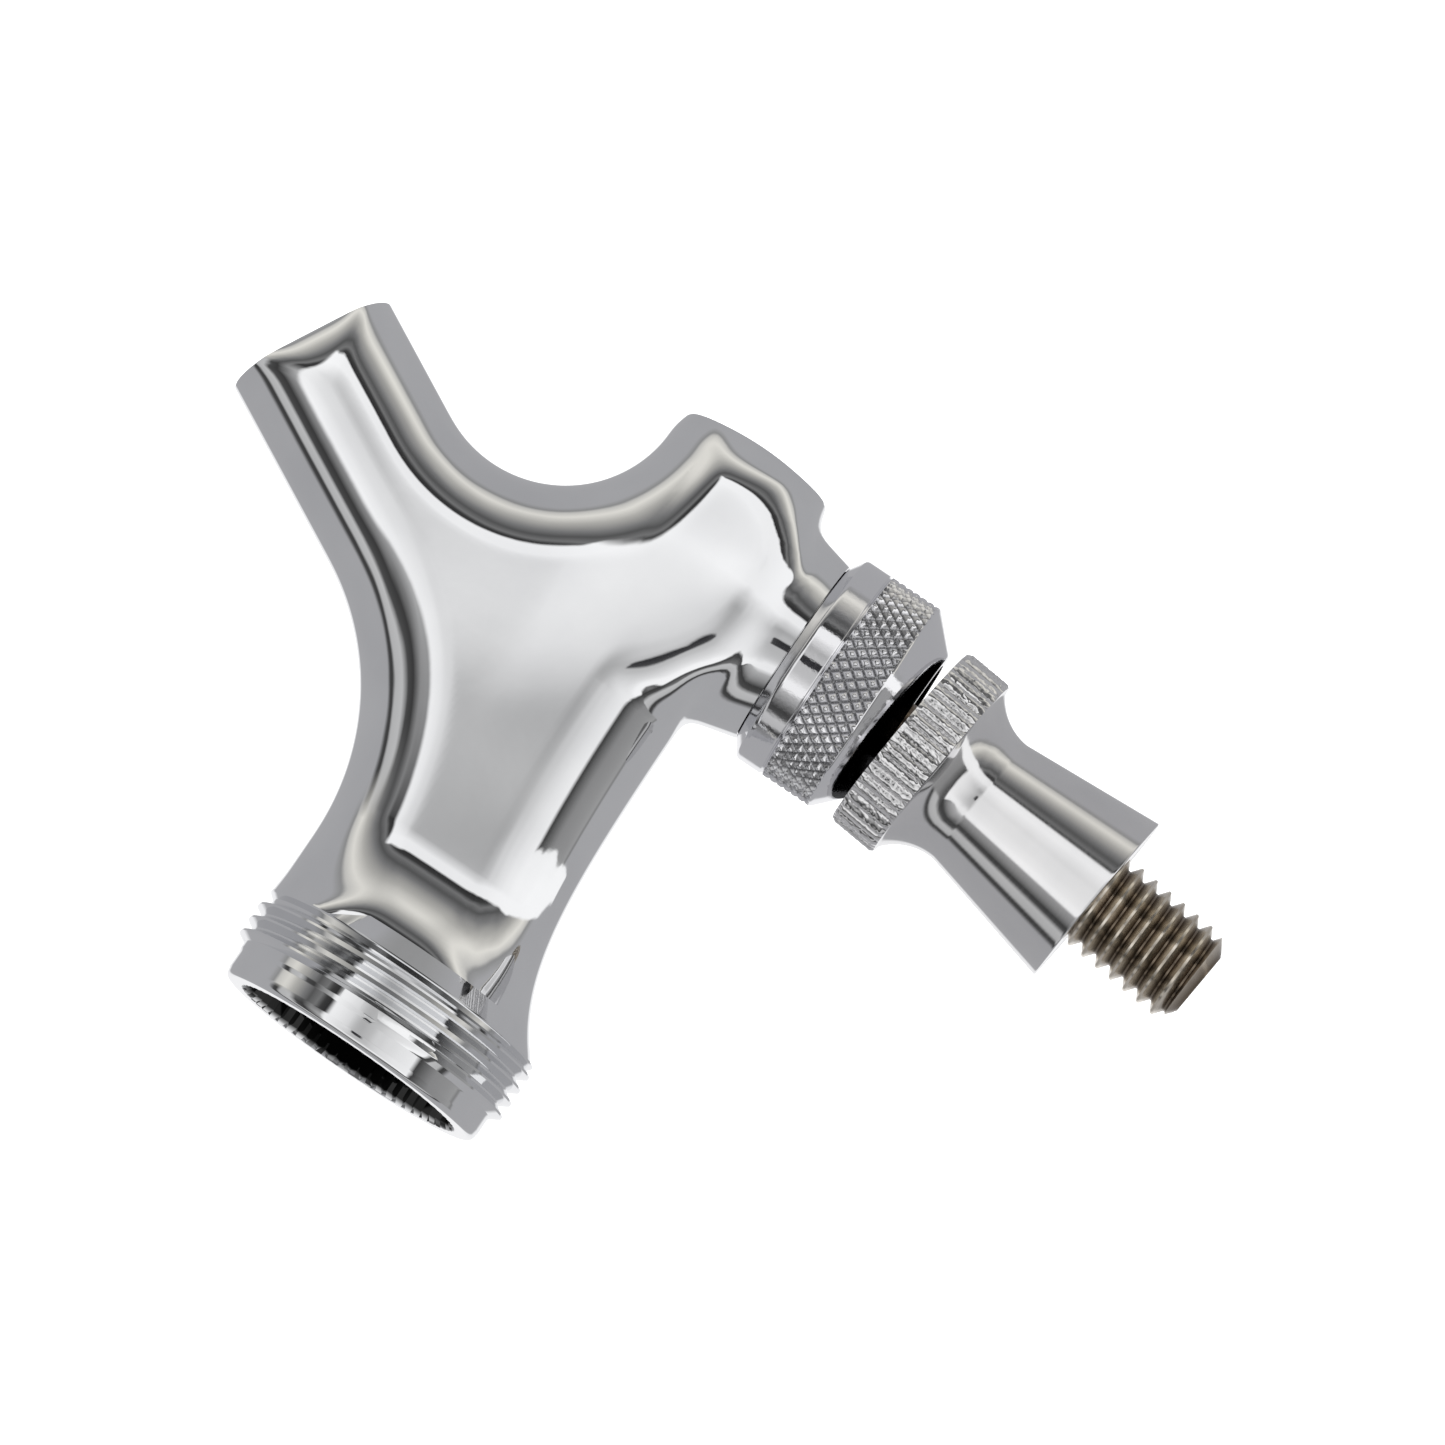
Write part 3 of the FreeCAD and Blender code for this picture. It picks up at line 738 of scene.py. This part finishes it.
def surface_of(field, low, step):
    """Quads of the zero level of a sampled field, one vertex per crossed cell."""
    inside = field < 0
    n = np.array(field.shape)
    corners = [(i, j, k) for i in (0, 1) for j in (0, 1) for k in (0, 1)]
    count = sum(inside[i:n[0] - 1 + i, j:n[1] - 1 + j, k:n[2] - 1 + k].astype(int) for i, j, k in corners)
    crossed = (count > 0) & (count < 8)
    cells = np.argwhere(crossed)
    number = np.full(crossed.shape, -1)
    number[crossed] = np.arange(len(cells))
    total, hits = np.zeros((len(cells), 3)), np.zeros(len(cells))
    for corner in corners:
        for axis in range(3):
            if corner[axis]:
                continue
            other = list(corner)
            other[axis] = 1
            fa, fb = field[tuple((cells + corner).T)], field[tuple((cells + other).T)]
            cut = (fa < 0) != (fb < 0)
            place = np.array(corner, float) + np.zeros((len(cells), 3))
            place[:, axis] += np.where(cut, fa / np.where(cut, fa - fb, 1), 0)
            total[cut] += place[cut]
            hits += cut
    verts = low + (cells + total / hits[:, None]) * step
    quads = []
    for axis in range(3):
        u, v = ((1, 2), (2, 0), (0, 1))[axis]
        near, far = [slice(None)] * 3, [slice(None)] * 3
        near[axis], far[axis] = slice(0, -1), slice(1, None)
        first = inside[tuple(near)]
        edges = np.argwhere(first != inside[tuple(far)])

        def around(du, dv):
            cell = edges.copy()
            cell[:, u] -= du
            cell[:, v] -= dv
            return number[tuple(cell.T)]

        faces = np.stack([around(1, 1), around(0, 1), around(0, 0), around(1, 0)], 1)
        leaving = first[tuple(edges.T)]
        faces[~leaving] = faces[~leaving][:, ::-1]
        quads.append(faces)
    return verts, np.vstack(quads)


def skin(step):
    """Quads of the body's outer surface, with every vertex moved onto the field's zero level."""
    axes = [np.arange(a, b + step / 2, step) for a, b in zip(SKIN_LOW, SKIN_HIGH)]
    s, z = np.meshgrid(axes[1], axes[2], indexing="ij")
    edge = plan(s, z)
    field = np.array([body_field(x, s, z, edge) for x in axes[0]])
    for side in (0, -1):
        field[side], field[:, side], field[:, :, side] = 1.0, 1.0, 1.0
    verts, quads = surface_of(field, np.array(SKIN_LOW), step)
    for _ in range(SKIN_PASSES):
        value, slope = body_field(*verts.T), body_gradient(verts)
        move = value / np.maximum((slope**2).sum(1), 1e-6)
        move = np.where(np.abs(move) < 1.2 * step, move, 0)
        verts = verts - slope * np.clip(move, -0.4 * step, 0.4 * step)[:, None]
    return verts, quads


def set_skin_normals(mesh, touch=0.02, same_way=0.93):
    """Shade the smooth skin with the exact slope of its field and everything else by angle."""
    corner_vertex = np.empty(len(mesh.loops), int)
    mesh.loops.foreach_get("vertex_index", corner_vertex)
    points = np.empty(len(mesh.vertices) * 3)
    mesh.vertices.foreach_get("co", points)
    points = points.reshape(-1, 3) * (1000, -1000, 1000)
    slope = body_gradient(points)
    slope /= np.maximum(np.linalg.norm(slope, axis=1), 1e-9)[:, None]
    on_skin = np.abs(body_field(*points.T)) < touch
    slope *= (1, -1, 1)
    face_of_corner = np.repeat(np.arange(len(mesh.polygons)), [p.loop_total for p in mesh.polygons])
    normals = np.array([p.normal for p in mesh.polygons])[face_of_corner]
    wanted = slope[corner_vertex]
    chosen = on_skin[corner_vertex] & ((normals * wanted).sum(1) > same_way)
    current = np.array([tuple(n.vector) for n in mesh.corner_normals])
    current[chosen] = wanted[chosen]
    mesh.normals_split_custom_set(current.tolist())


# ---------------------------------------------------------------- body

def coupling():
    """Solid end of the body behind the flare, with its helical thread."""
    face_edge = arc_points((COUPLING_FACE_R, 0), (13.1, 0.2), (13.22, 0.55), 5)
    pilot = [(PILOT_R, 0.9), (PILOT_R, PILOT_LEN), (COUPLING_ROOT_R - 0.12, PILOT_LEN + 0.12)]
    root = [(COUPLING_ROOT_R, 2.7), (COUPLING_ROOT_R, COUPLING_CUT - 0.55)]
    shoulder = COUPLING_CUT + 0.05
    shoulder_edge = [(COUPLING_SHOULDER_R - 0.1, COUPLING_CUT - 0.1), (COUPLING_SHOULDER_R, shoulder)]
    core = [(COUPLING_SHOULDER_R - 0.5, shoulder), (COUPLING_SHOULDER_R - 2, COUPLING_END)]
    outline = [(0, 0), *face_edge, *pilot, *root, *shoulder_edge, *core, (0, COUPLING_END)]
    made = turned("coupling", outline, BARREL, segments=240)
    thread = ridge("coupling_thread", BARREL, COUPLING_ROOT_R, COUPLING_CREST_R, COUPLING_PITCH,
                   start=THREAD_START, end=COUPLING_CUT - 0.2, fade_in=0.25, fade_out=0.3)
    combine(made, thread, "UNION")
    return made


def socket_cutter():
    """Toothed space of the mouth."""
    verts = []
    # each level is a depth and how far the tips of the teeth are cut back there
    levels = ((-0.5, 1.05), (0.0, 0.55), (0.55, 0.0), (SOCKET_DEPTH, 0.0))
    for s, wider in levels:
        for i in range(SOCKET_TEETH * 2):
            a = math.pi * i / SOCKET_TEETH
            r = SOCKET_ROOT_R - (SOCKET_TOOTH if i % 2 else 0.0)
            r = max(r, SOCKET_ROOT_R - SOCKET_TOOTH + wider) if wider else r
            verts.append((r * math.cos(a), r * math.sin(a), s))
    n = SOCKET_TEETH * 2
    faces = [list(range(n)), list(range(3 * n, 4 * n))[::-1]]
    for level in range(3):
        for i in range(n):
            j = (i + 1) % n
            faces.append([level * n + j, level * n + i, (level + 1) * n + i, (level + 1) * n + j])
    return new_object("socket", verts, faces, BARREL)


def body_height(r, h):
    """0 in the mouth of the coupling, where the chrome gets painted shade, 1 elsewhere."""
    socket = (r < SOCKET_ROOT_R + 0.45) & (h > 0.4) & (h < 9.0)
    return np.where(socket, 0.0, 1.0)


def trim_ends(body):
    """Cut the skin to the spout's end, the nose's dome, the coupling and the neck's top."""
    end_round = 0.35
    outside = 12
    rim = arc_points((SPOUT_R - end_round, SPOUT_LEN), (SPOUT_R - 0.1, SPOUT_LEN - 0.1),
                     (SPOUT_R + 0.01, SPOUT_LEN - end_round), 6)
    past_spout = SPOUT_LEN + 12
    tip = [(0, SPOUT_LEN), *rim, (outside, SPOUT_LEN - end_round)]
    tip += [(outside, past_spout), (0, past_spout)]
    combine(body, turned("tip_trim", tip, SPOUT), "DIFFERENCE")
    top = (0.0, STUB_RIM + STUB_DOME_RISE)
    half_way = (0.5 * STUB_RIM_R, STUB_RIM + 0.75 * STUB_DOME_RISE)
    dome = arc_points(top, half_way, (STUB_RIM_R - 0.15, STUB_RIM), 12)
    rim_low, past_nose = STUB_RIM - 0.3, 70
    nose = [*dome, (STUB_RIM_R + 0.1, rim_low), (outside, rim_low), (outside, past_nose), (0, past_nose)]
    combine(body, turned("nose_trim", nose, BARREL), "DIFFERENCE")
    rear = [(0, 0), (20, 0), (20, COUPLING_CUT), (0, COUPLING_CUT)]
    combine(body, turned("rear_trim", rear, BARREL), "DIFFERENCE")
    over_neck = [(0, NECK_TOP_Z), (14, NECK_TOP_Z), (14, 20), (0, 20)]
    combine(body, turned("top_trim", over_neck, NECK), "DIFFERENCE")


def bore_body(body):
    """Cut the toothed mouth, the barrel's stepped bore, the spout's bore and the neck's well."""
    barrel = [(0, 5), (GASKET_SEAT_R, 5), (GASKET_SEAT_R, GASKET_SEAT_S), (CHAMBER_R, GASKET_SEAT_S),
              (CHAMBER_R, CHAMBER_END), (PASSAGE_R, PASSAGE_START), (PASSAGE_R, PASSAGE_END),
              (GUIDE_R, PASSAGE_END), (GUIDE_R, GUIDE_END), (0, GUIDE_END)]
    spout = [(0, 0), (THROAT_R, 0), (THROAT_R, THROAT_LEN), (SPOUT_BORE_R, THROAT_LEN),
             (SPOUT_BORE_R, SPOUT_LEN - 0.3), (SPOUT_LIP_R, SPOUT_LEN + 0.01),
             (SPOUT_LIP_R, SPOUT_LEN + 1), (0, SPOUT_LEN + 1)]
    well = [(0, WELL_FLOOR_Z), (WELL_R, WELL_FLOOR_Z), (WELL_R, SEAT_Z), (SEAT_R, SEAT_Z),
            (SEAT_R, NECK_END_Z + 1), (0, NECK_END_Z + 1)]
    combine(body, socket_cutter(), "DIFFERENCE")
    for outline, matrix in ((barrel, BARREL), (spout, SPOUT), (well, NECK)):
        combine(body, turned("bore", outline, matrix, segments=128), "DIFFERENCE")


def make_body():
    verts, quads = skin(SKIN_STEP)
    body = new_object("faucet_body_skin", verts * (1, -1, 1), quads.tolist())
    trim_ends(body)
    combine(body, coupling(), "UNION")
    threaded = [(0, 5), (NECK_THREAD_R, 5), (NECK_THREAD_R, 17.4), (7.8, NECK_END_Z), (0, NECK_END_Z)]
    combine(body, turned("neck_end", threaded, NECK), "UNION")
    bore_body(body)
    mark_height(body, BARREL, body_height)
    smooth(body, 28)
    set_skin_normals(body.data)
    dress(body, "chrome_body", "body", "faucet_body")


# ---------------------------------------------------------------- collar, ferrule and lever

COLLAR_R = 10.6
COLLAR_FOOT = 12.42
COLLAR_TOP = 24.16
COLLAR_MOUTH_R = 6.5
COLLAR_CAVITY_R = 8.3
COLLAR_CAVITY_TOP = 22.4
COLLAR_THREAD_R = 8.68
COLLAR_THREAD_TOP = 18.1
BAND_TOP = 15.85
KNURLS = 54
KNURL_LOW, KNURL_TOP = 16.2, 21.1
KNURL_RISE = 1.5
KNURL_DEPTH = 0.42


def triangle(t):
    """Wave that runs from 0 up to 1 and back over each whole number."""
    return 1 - np.abs(2 * (t % 1.0) - 1)


def diamond(turn, r, z):
    """Depth of a crossed knurl below the collar's radius, a little blunt on top."""
    if not KNURL_LOW < z < KNURL_TOP or r < COLLAR_R - 0.1:
        return 0.0
    u = KNURLS * turn / (2 * math.pi)
    height = np.minimum(triangle(u + z / KNURL_RISE), triangle(u - z / KNURL_RISE))
    height = np.minimum(height / 0.8, 1.0)
    return -KNURL_DEPTH * (1 - height) ** 1.2


def collar_height(r, h):
    """1 on the knurl's tips, 0 in its grooves, where shade is painted, 1 elsewhere."""
    knurled = (h > KNURL_LOW - 0.1) & (h < KNURL_TOP + 0.1) & (r > 10.0)
    return np.where(knurled, 1 - (COLLAR_R - r) / KNURL_DEPTH, 1.0)


def make_collar():
    foot, skirt = (9.1, COLLAR_FOOT), (10.5, 13.35)
    outer = [(COLLAR_THREAD_R, COLLAR_FOOT)]
    outer += rounded_corner((COLLAR_THREAD_R, COLLAR_FOOT), foot, (10.45, 13.3), 0.12, 3)
    outer += rounded_corner(foot, skirt, (COLLAR_R, 13.6), 0.3, 5)
    band = [(COLLAR_R, 13.62), (COLLAR_R, BAND_TOP)]
    groove = [(10.55, 15.92), (10.42, 15.96), (10.42, 16.04), (COLLAR_R, 16.15)]
    knurl = [(COLLAR_R, h) for h in np.linspace(KNURL_LOW, KNURL_TOP, num=56)]
    cone = [(COLLAR_R, 21.15), (10.5, 21.3), (7.56, 24.1), (7.46, COLLAR_TOP)]
    cavity = [(COLLAR_MOUTH_R, COLLAR_TOP), (COLLAR_MOUTH_R, COLLAR_CAVITY_TOP)]
    cavity += [(COLLAR_CAVITY_R, COLLAR_CAVITY_TOP), (COLLAR_CAVITY_R, COLLAR_THREAD_TOP)]
    cavity += [(COLLAR_THREAD_R, COLLAR_THREAD_TOP)]
    outer += band + groove + knurl + cone + cavity
    collar = turned("lever_collar_knurled", outer, NECK, segments=KNURLS * 10, bump=diamond)
    mark_height(collar, NECK, collar_height)
    smooth(collar, 38)
    dress(collar, "chrome_collar", "body", "lever_collar")


def mark_height(piece, matrix, rule):
    """Store rule(radius, height) at each vertex, from 0 in the bottom of a groove to 1 on top."""
    mesh = piece.data
    points = np.empty(len(mesh.vertices) * 3)
    mesh.vertices.foreach_get("co", points)
    back = np.array(matrix.inverted())
    local = (points.reshape(-1, 3) @ back[:3, :3].T + back[:3, 3]) * 1000
    height = np.clip(rule(np.hypot(local[:, 0], local[:, 1]), local[:, 2]), 0, 1)
    layer = mesh.attributes.new("height", "FLOAT", "POINT")
    layer.data.foreach_set("value", height.astype(np.float32))


RING_R = 9.70
RING_LOW, RING_TOP = 7.62, 12.38
RING_RIDGES = 48
RING_DEPTH = 0.42
CHATTER_DEPTH = 0.02
CHATTER_ROWS = 40
FERRULE_BORE_R = 3.95
WAIST_R = 6.6
BELL_R = 8.76
ridge_random = np.random.RandomState(11)
ridge_height = ridge_random.uniform(0.55, 1.0, RING_RIDGES)
ridge_shift = ridge_random.uniform(-0.16, 0.16, RING_RIDGES)
ring_chatter = ridge_random.normal(0, 1, (RING_RIDGES * 12, CHATTER_ROWS))


def straight(turn, r, h):
    """Coarse straight knurl of the ring: uneven ridges with small chatter marks."""
    if not RING_LOW < h < RING_TOP or r < RING_R - 0.5:
        return 0.0
    u = RING_RIDGES * turn / (2 * math.pi)
    index = np.floor(u).astype(int) % RING_RIDGES
    phase = np.clip(u % 1.0 + ridge_shift[index] * np.sin(math.pi * (u % 1.0)), 0, 1)
    crest = np.sin(math.pi * phase) ** 0.8 * ridge_height[index]
    edge = min(1.0, (h - RING_LOW) / 0.3, (RING_TOP - h) / 0.3)
    chatter = CHATTER_DEPTH * ring_chatter[:, int((h - 7.6) * 8) % CHATTER_ROWS]
    return -RING_DEPTH * (1 - crest) * max(edge, 0.25) + chatter * max(edge, 0.0)


def ferrule_height(r, h):
    """0 in the hollow under the ring, where the chrome gets painted shade, 1 elsewhere."""
    cup = (r < 9.1) & (h > 7.5) & (h < FLANGE_TOP + 0.1)
    return np.where(cup, 0.0, 1.0)


def make_ferrule():
    inside = [(FERRULE_BORE_R, BELL_END), (FERRULE_BORE_R, FLANGE_TOP), (5.6, FLANGE_TOP)]
    inside += [(9.0, 7.8), (9.15, 7.6)]
    ring = [(9.3, 7.6), (9.45, RING_LOW), (RING_R, 8.0)]
    ring += [(RING_R, h) for h in np.linspace(8.1, 11.9, num=30)]
    ring += [(RING_R, 12.05), (9.45, RING_TOP), (9.2, 12.4), (9.0, 12.42)]
    waist = arc_points((9.0, 12.42), (7.25, 14.3), (WAIST_R, 16.9), 26)
    rim = rounded_corner((WAIST_R, 16.9), (BELL_R, BELL_END), (4.0, BELL_END), 0.14, 5)
    outline = inside + ring + waist[1:] + rim
    ferrule = turned("lever_ferrule_turned", outline, LEVER, segments=RING_RIDGES * 12, bump=straight)
    mark_height(ferrule, LEVER, ferrule_height)
    smooth(ferrule, 42)
    dress(ferrule, "chrome_ferrule", "lever", "lever_ferrule")


def make_lever():
    axis = 0.001
    ball = arc_points((axis, -BALL_R), (BALL_R, 0), (STEM_R, STEM_FOOT), 40)
    tip = arc_points((axis, FINGER_TIP), (1.2, -18.1), (FINGER_R, -16.9), 10)
    finger = [(0, FINGER_TIP), *tip, (FINGER_R, -5.3)]
    outline = finger + [p for p in ball if p[0] > FINGER_R + 0.05]
    outline += [(STEM_R, FLANGE_LOW), (FLANGE_R, 9.8), (FLANGE_R, FLANGE_TOP)]
    outline += [(STUD_ROOT_R, FLANGE_TOP), (STUD_ROOT_R, STUD_END - 0.7), (3.1, STUD_END), (0, STUD_END)]
    lever = turned("lever_threaded", outline, LEVER, segments=160)
    thread = ridge("stud_thread", LEVER, STUD_ROOT_R, STUD_R, STUD_PITCH,
                   start=BELL_END - 1.4, end=STUD_END + 1.0, fade_in=0.2, fade_out=0.0)
    combine(lever, thread, "UNION")
    chamfer = STUD_END - 1.45
    off_end = [(0, STUD_END), (3.15, STUD_END), (STUD_R + 0.35, chamfer), (8, chamfer),
               (8, STUD_END + 4), (0, STUD_END + 4)]
    combine(lever, turned("stud_tip", off_end, LEVER, segments=96), "DIFFERENCE")
    # height runs from 0 at the thread's root, where shade is painted, to 1 at its crest
    mark_height(lever, LEVER, lambda r, h: (r - STUD_ROOT_R) / (STUD_R - STUD_ROOT_R))
    smooth(lever, 30)
    dress(lever, "lever_steel", "lever", "lever")


make_body()
make_collar()
make_ferrule()
make_lever()


# ---------------------------------------------------------------- studio

FLOOR_DROP = 0.09
FLOOR_R = 2.5
FLOOR_CENTRE_Y = -0.03


def make_floor():
    """Large round floor, well below the faucet, which has no standing position of its own."""
    low = cad_box[0].z - FLOOR_DROP
    rings, steps = 6, 48
    bm = bmesh.new()
    centre = bm.verts.new((0, FLOOR_CENTRE_Y, low))
    previous = None
    for k in range(1, rings + 1):
        radius = FLOOR_R * (k / rings) ** 2
        turn = [2 * math.pi * i / steps for i in range(steps)]
        places = [(radius * math.cos(a), FLOOR_CENTRE_Y + radius * math.sin(a), low) for a in turn]
        ring = [bm.verts.new(place) for place in places]
        for i in range(steps):
            j = (i + 1) % steps
            corners = [centre, ring[i], ring[j]]
            if previous is not None:
                corners = [previous[i], ring[i], ring[j], previous[j]]
            bm.faces.new(corners)
        previous = ring
    mesh = bpy.data.meshes.new("floor")
    bm.to_mesh(mesh)
    bm.free()
    floor = bpy.data.objects.new("floor", mesh)
    bpy.context.scene.collection.objects.link(floor)
    mesh.materials.append(floor_paint())
    floor.visible_glossy = False


BOX_LONG = (0.83 * RIGHT - 0.56 * UP).normalized()
BOX_SHORT = (0.56 * RIGHT + 0.83 * UP).normalized()
BOX_HALF = 0.4
PLAIN_STRENGTH = 1.9

# Tones of the mirrored room, as (place, brightness or colour) stops. BOX and SLIT_ACROSS run
# over the soft box, WASH and SLIT_ALONG along it. ABOVE, BELOW and BEYOND run out from it.
WALL = (0.42, 0.42, 0.432)
GLARE = (1.1, 1.1, 1.1)
GAP = (0.015, 0.015, 0.018)
BACK_WALL = (0.95, 0.95, 0.96)
BOX = [(0.13, 1.15), (0.21, 1.1), (0.30, 0.6), (0.44, 0.50), (0.56, 0.55), (0.63, 0.38),
       (0.66, 0.52), (0.70, 0.66), (0.77, 0.92), (0.84, 1.2), (0.91, 1.3)]
WASH = [(0.17, 0.9), (0.33, 0.55), (0.40, 0.05), (0.48, 0.0), (0.62, 0.25), (0.80, 0.65), (1.0, 0.85)]
SLIT_ACROSS = [(0.445, 0.0), (0.460, 1.0), (0.520, 1.0), (0.535, 0.0)]
SLIT_ALONG = [(0.375, 0.0), (0.395, 1.0), (0.48, 0.9), (0.51, 0.0)]
ABOVE = [(0.0, 0.05), (0.24, 0.02), (0.28, 0.05), (0.30, 0.20), (0.33, 0.10), (0.36, 0.22),
         (0.41, (0.50, 0.49, 0.46)), (0.455, (0.86, 0.84, 0.78)), (0.485, (0.62, 0.61, 0.58)),
         (0.498, 0.30), (0.506, 0.34), (0.525, WALL), (1.0, WALL)]
BELOW = [(0.0, 0.3), (0.22, 1.0), (0.25, 0.5), (0.30, 0.30), (0.34, 0.05), (0.37, 0.08),
         (0.40, 0.58), (0.44, 0.52), (0.455, 0.05), (0.47, 0.07), (0.49, WALL), (1.0, WALL)]
BEYOND = [(0.0, 0.05), (0.22, 0.05), (0.27, 0.16), (0.33, 0.28), (0.45, 0.32),
          (0.52, 0.36), (0.55, 0.24), (0.58, WALL), (1.0, WALL)]


def make_world():
    """Plain white room; mirrors see one long soft box, dark gaps round it and pale grey walls."""
    world = bpy.data.worlds.new("studio")
    bpy.context.scene.world = world
    world.use_nodes = True
    tree = world.node_tree
    tree.nodes.clear()

    def node(kind, **values):
        made = tree.nodes.new(kind)
        for key, value in values.items():
            setattr(made, key, value)
        return made

    def link(a, b):
        tree.links.new(a, b)

    def along(vector):
        made = node("ShaderNodeVectorMath", operation="DOT_PRODUCT")
        link(direction, made.inputs[0])
        made.inputs[1].default_value = vector
        return made.outputs["Value"]

    def ramp(source, stops, curve="LINEAR"):
        made = node("ShaderNodeValToRGB")
        made.color_ramp.interpolation = curve
        elements = made.color_ramp.elements
        while len(elements) < len(stops):
            elements.new(0.5)
        for element, (at, level) in zip(elements, stops):
            element.position = at
            colour = level if isinstance(level, tuple) else (level,) * 3
            element.color = (*colour, 1)
        link(source, made.inputs["Fac"])
        return made.outputs["Color"]

    def maths(operation, a, b=0.0):
        made = node("ShaderNodeMath", operation=operation)
        for socket, value in zip(made.inputs, (a, b)):
            if isinstance(value, (int, float)):
                socket.default_value = value
            else:
                link(value, socket)
        return made.outputs["Value"]

    def scaled(source, low, high):
        made = node("ShaderNodeMapRange")
        made.inputs["From Min"].default_value = low
        made.inputs["From Max"].default_value = high
        link(source, made.inputs["Value"])
        return made.outputs["Result"]

    def times(a, b):
        return maths("MULTIPLY", a, b)

    def blend(a, b, share):
        made = node("ShaderNodeMix", data_type="RGBA")
        link(share, made.inputs["Factor"])
        for value, name in ((a, "A"), (b, "B")):
            if isinstance(value, tuple):
                made.inputs[name].default_value = (*value, 1.0)
            else:
                link(value, made.inputs[name])
        return made.outputs["Result"]

    direction = node("ShaderNodeTexCoord").outputs["Generated"]
    wobble = node("ShaderNodeTexNoise")
    wobble.inputs["Scale"].default_value = 2.2
    wobble.inputs["Detail"].default_value = 2.0
    link(direction, wobble.inputs["Vector"])
    drift = times(maths("SUBTRACT", wobble.outputs["Fac"], 0.5), 0.14)

    # places on a flat map of all directions: 0 is straight at the soft box, 1 is square to it
    depth = maths("MAXIMUM", maths("ADD", along(BACK), 1.0), 0.02)
    over = maths("ADD", maths("DIVIDE", along(BOX_LONG), depth), drift)
    side = maths("ADD", maths("DIVIDE", along(BOX_SHORT), depth), drift)
    spread = maths("SQRT", maths("ADD", times(over, over), times(side, side)))
    far = maths("DIVIDE", spread, maths("ADD", spread, 1.0))
    across = scaled(side, -BOX_HALF, BOX_HALF)
    lengthwise = scaled(over, -BOX_HALF, BOX_HALF)

    # the soft box, brighter towards its ends, with a dark slit
    box = ramp(across, BOX, "B_SPLINE")
    box = blend(box, GLARE, ramp(lengthwise, WASH, "B_SPLINE"))
    box = blend(box, GAP, times(ramp(across, SLIT_ACROSS), ramp(lengthwise, SLIT_ALONG)))

    # the box reaches further along its lower edge than along the rest
    reach = maths("SUBTRACT", over, times(ramp(across, [(0.68, 0.0), (0.82, 1.0)]), 1.07))
    in_width = ramp(across, [(0.13, 0.0), (0.155, 1.0), (0.895, 1.0), (0.92, 0.0)])
    past_start = ramp(scaled(over, -0.6, 2.2), [(0.10, 0.0), (0.115, 1.0)])
    before_end = ramp(scaled(reach, -0.6, 0.6), [(0.83, 1.0), (0.87, 0.0)])
    inside = times(times(in_width, past_start), before_end)

    # the room round it
    walls = blend(ramp(far, BELOW), ramp(far, ABOVE), scaled(side, -0.1, 0.1))
    in_line = times(ramp(across, [(0.10, 0.0), (0.14, 1.0), (0.76, 1.0), (0.80, 0.0)]),
                    ramp(over, [(0.20, 0.0), (0.30, 1.0)]))
    walls = blend(walls, ramp(scaled(over, 0.0, 2.0), BEYOND), in_line)
    behind = scaled(along(Vector((-1.0, 0.0, 0.0))), 0.90, 0.98)
    walls = blend(walls, BACK_WALL, ramp(behind, [(0.0, 0.0), (0.5, 1.0)]))
    seen = blend(walls, box, inside)

    light = node("ShaderNodeLightPath")
    plain = node("ShaderNodeBackground")
    plain.inputs["Color"].default_value = (1, 1, 1, 1)
    plain.inputs["Strength"].default_value = PLAIN_STRENGTH
    mirrored = node("ShaderNodeBackground")
    link(seen, mirrored.inputs["Color"])
    mirrored.inputs["Strength"].default_value = 1.0
    mix = node("ShaderNodeMixShader")
    link(light.outputs["Is Glossy Ray"], mix.inputs["Fac"])
    link(plain.outputs[0], mix.inputs[1])
    link(mirrored.outputs[0], mix.inputs[2])
    link(mix.outputs[0], node("ShaderNodeOutputWorld").inputs["Surface"])


def soft_light(name, direction, distance, size, power):
    """Round lamp that shines at the middle of the faucet and isn't mirrored in it."""
    data = bpy.data.lights.new(name, "AREA")
    data.shape = "DISK"
    data.size = size
    data.energy = power
    lamp = bpy.data.objects.new(name, data)
    target = (cad_box[0] + cad_box[1]) / 2
    direction = Vector(direction).normalized()
    lamp.location = target + direction * distance
    lamp.visible_glossy = False
    lamp.rotation_mode = "QUATERNION"
    lamp.rotation_quaternion = (-direction).to_track_quat("-Z", "Y")
    bpy.context.scene.collection.objects.link(lamp)


make_floor()
make_world()
soft_light("key", BACK + UP * 0.55 + RIGHT * 0.1, distance=0.9, size=0.10, power=2.0)
bpy.context.scene.view_settings.view_transform = "Standard"
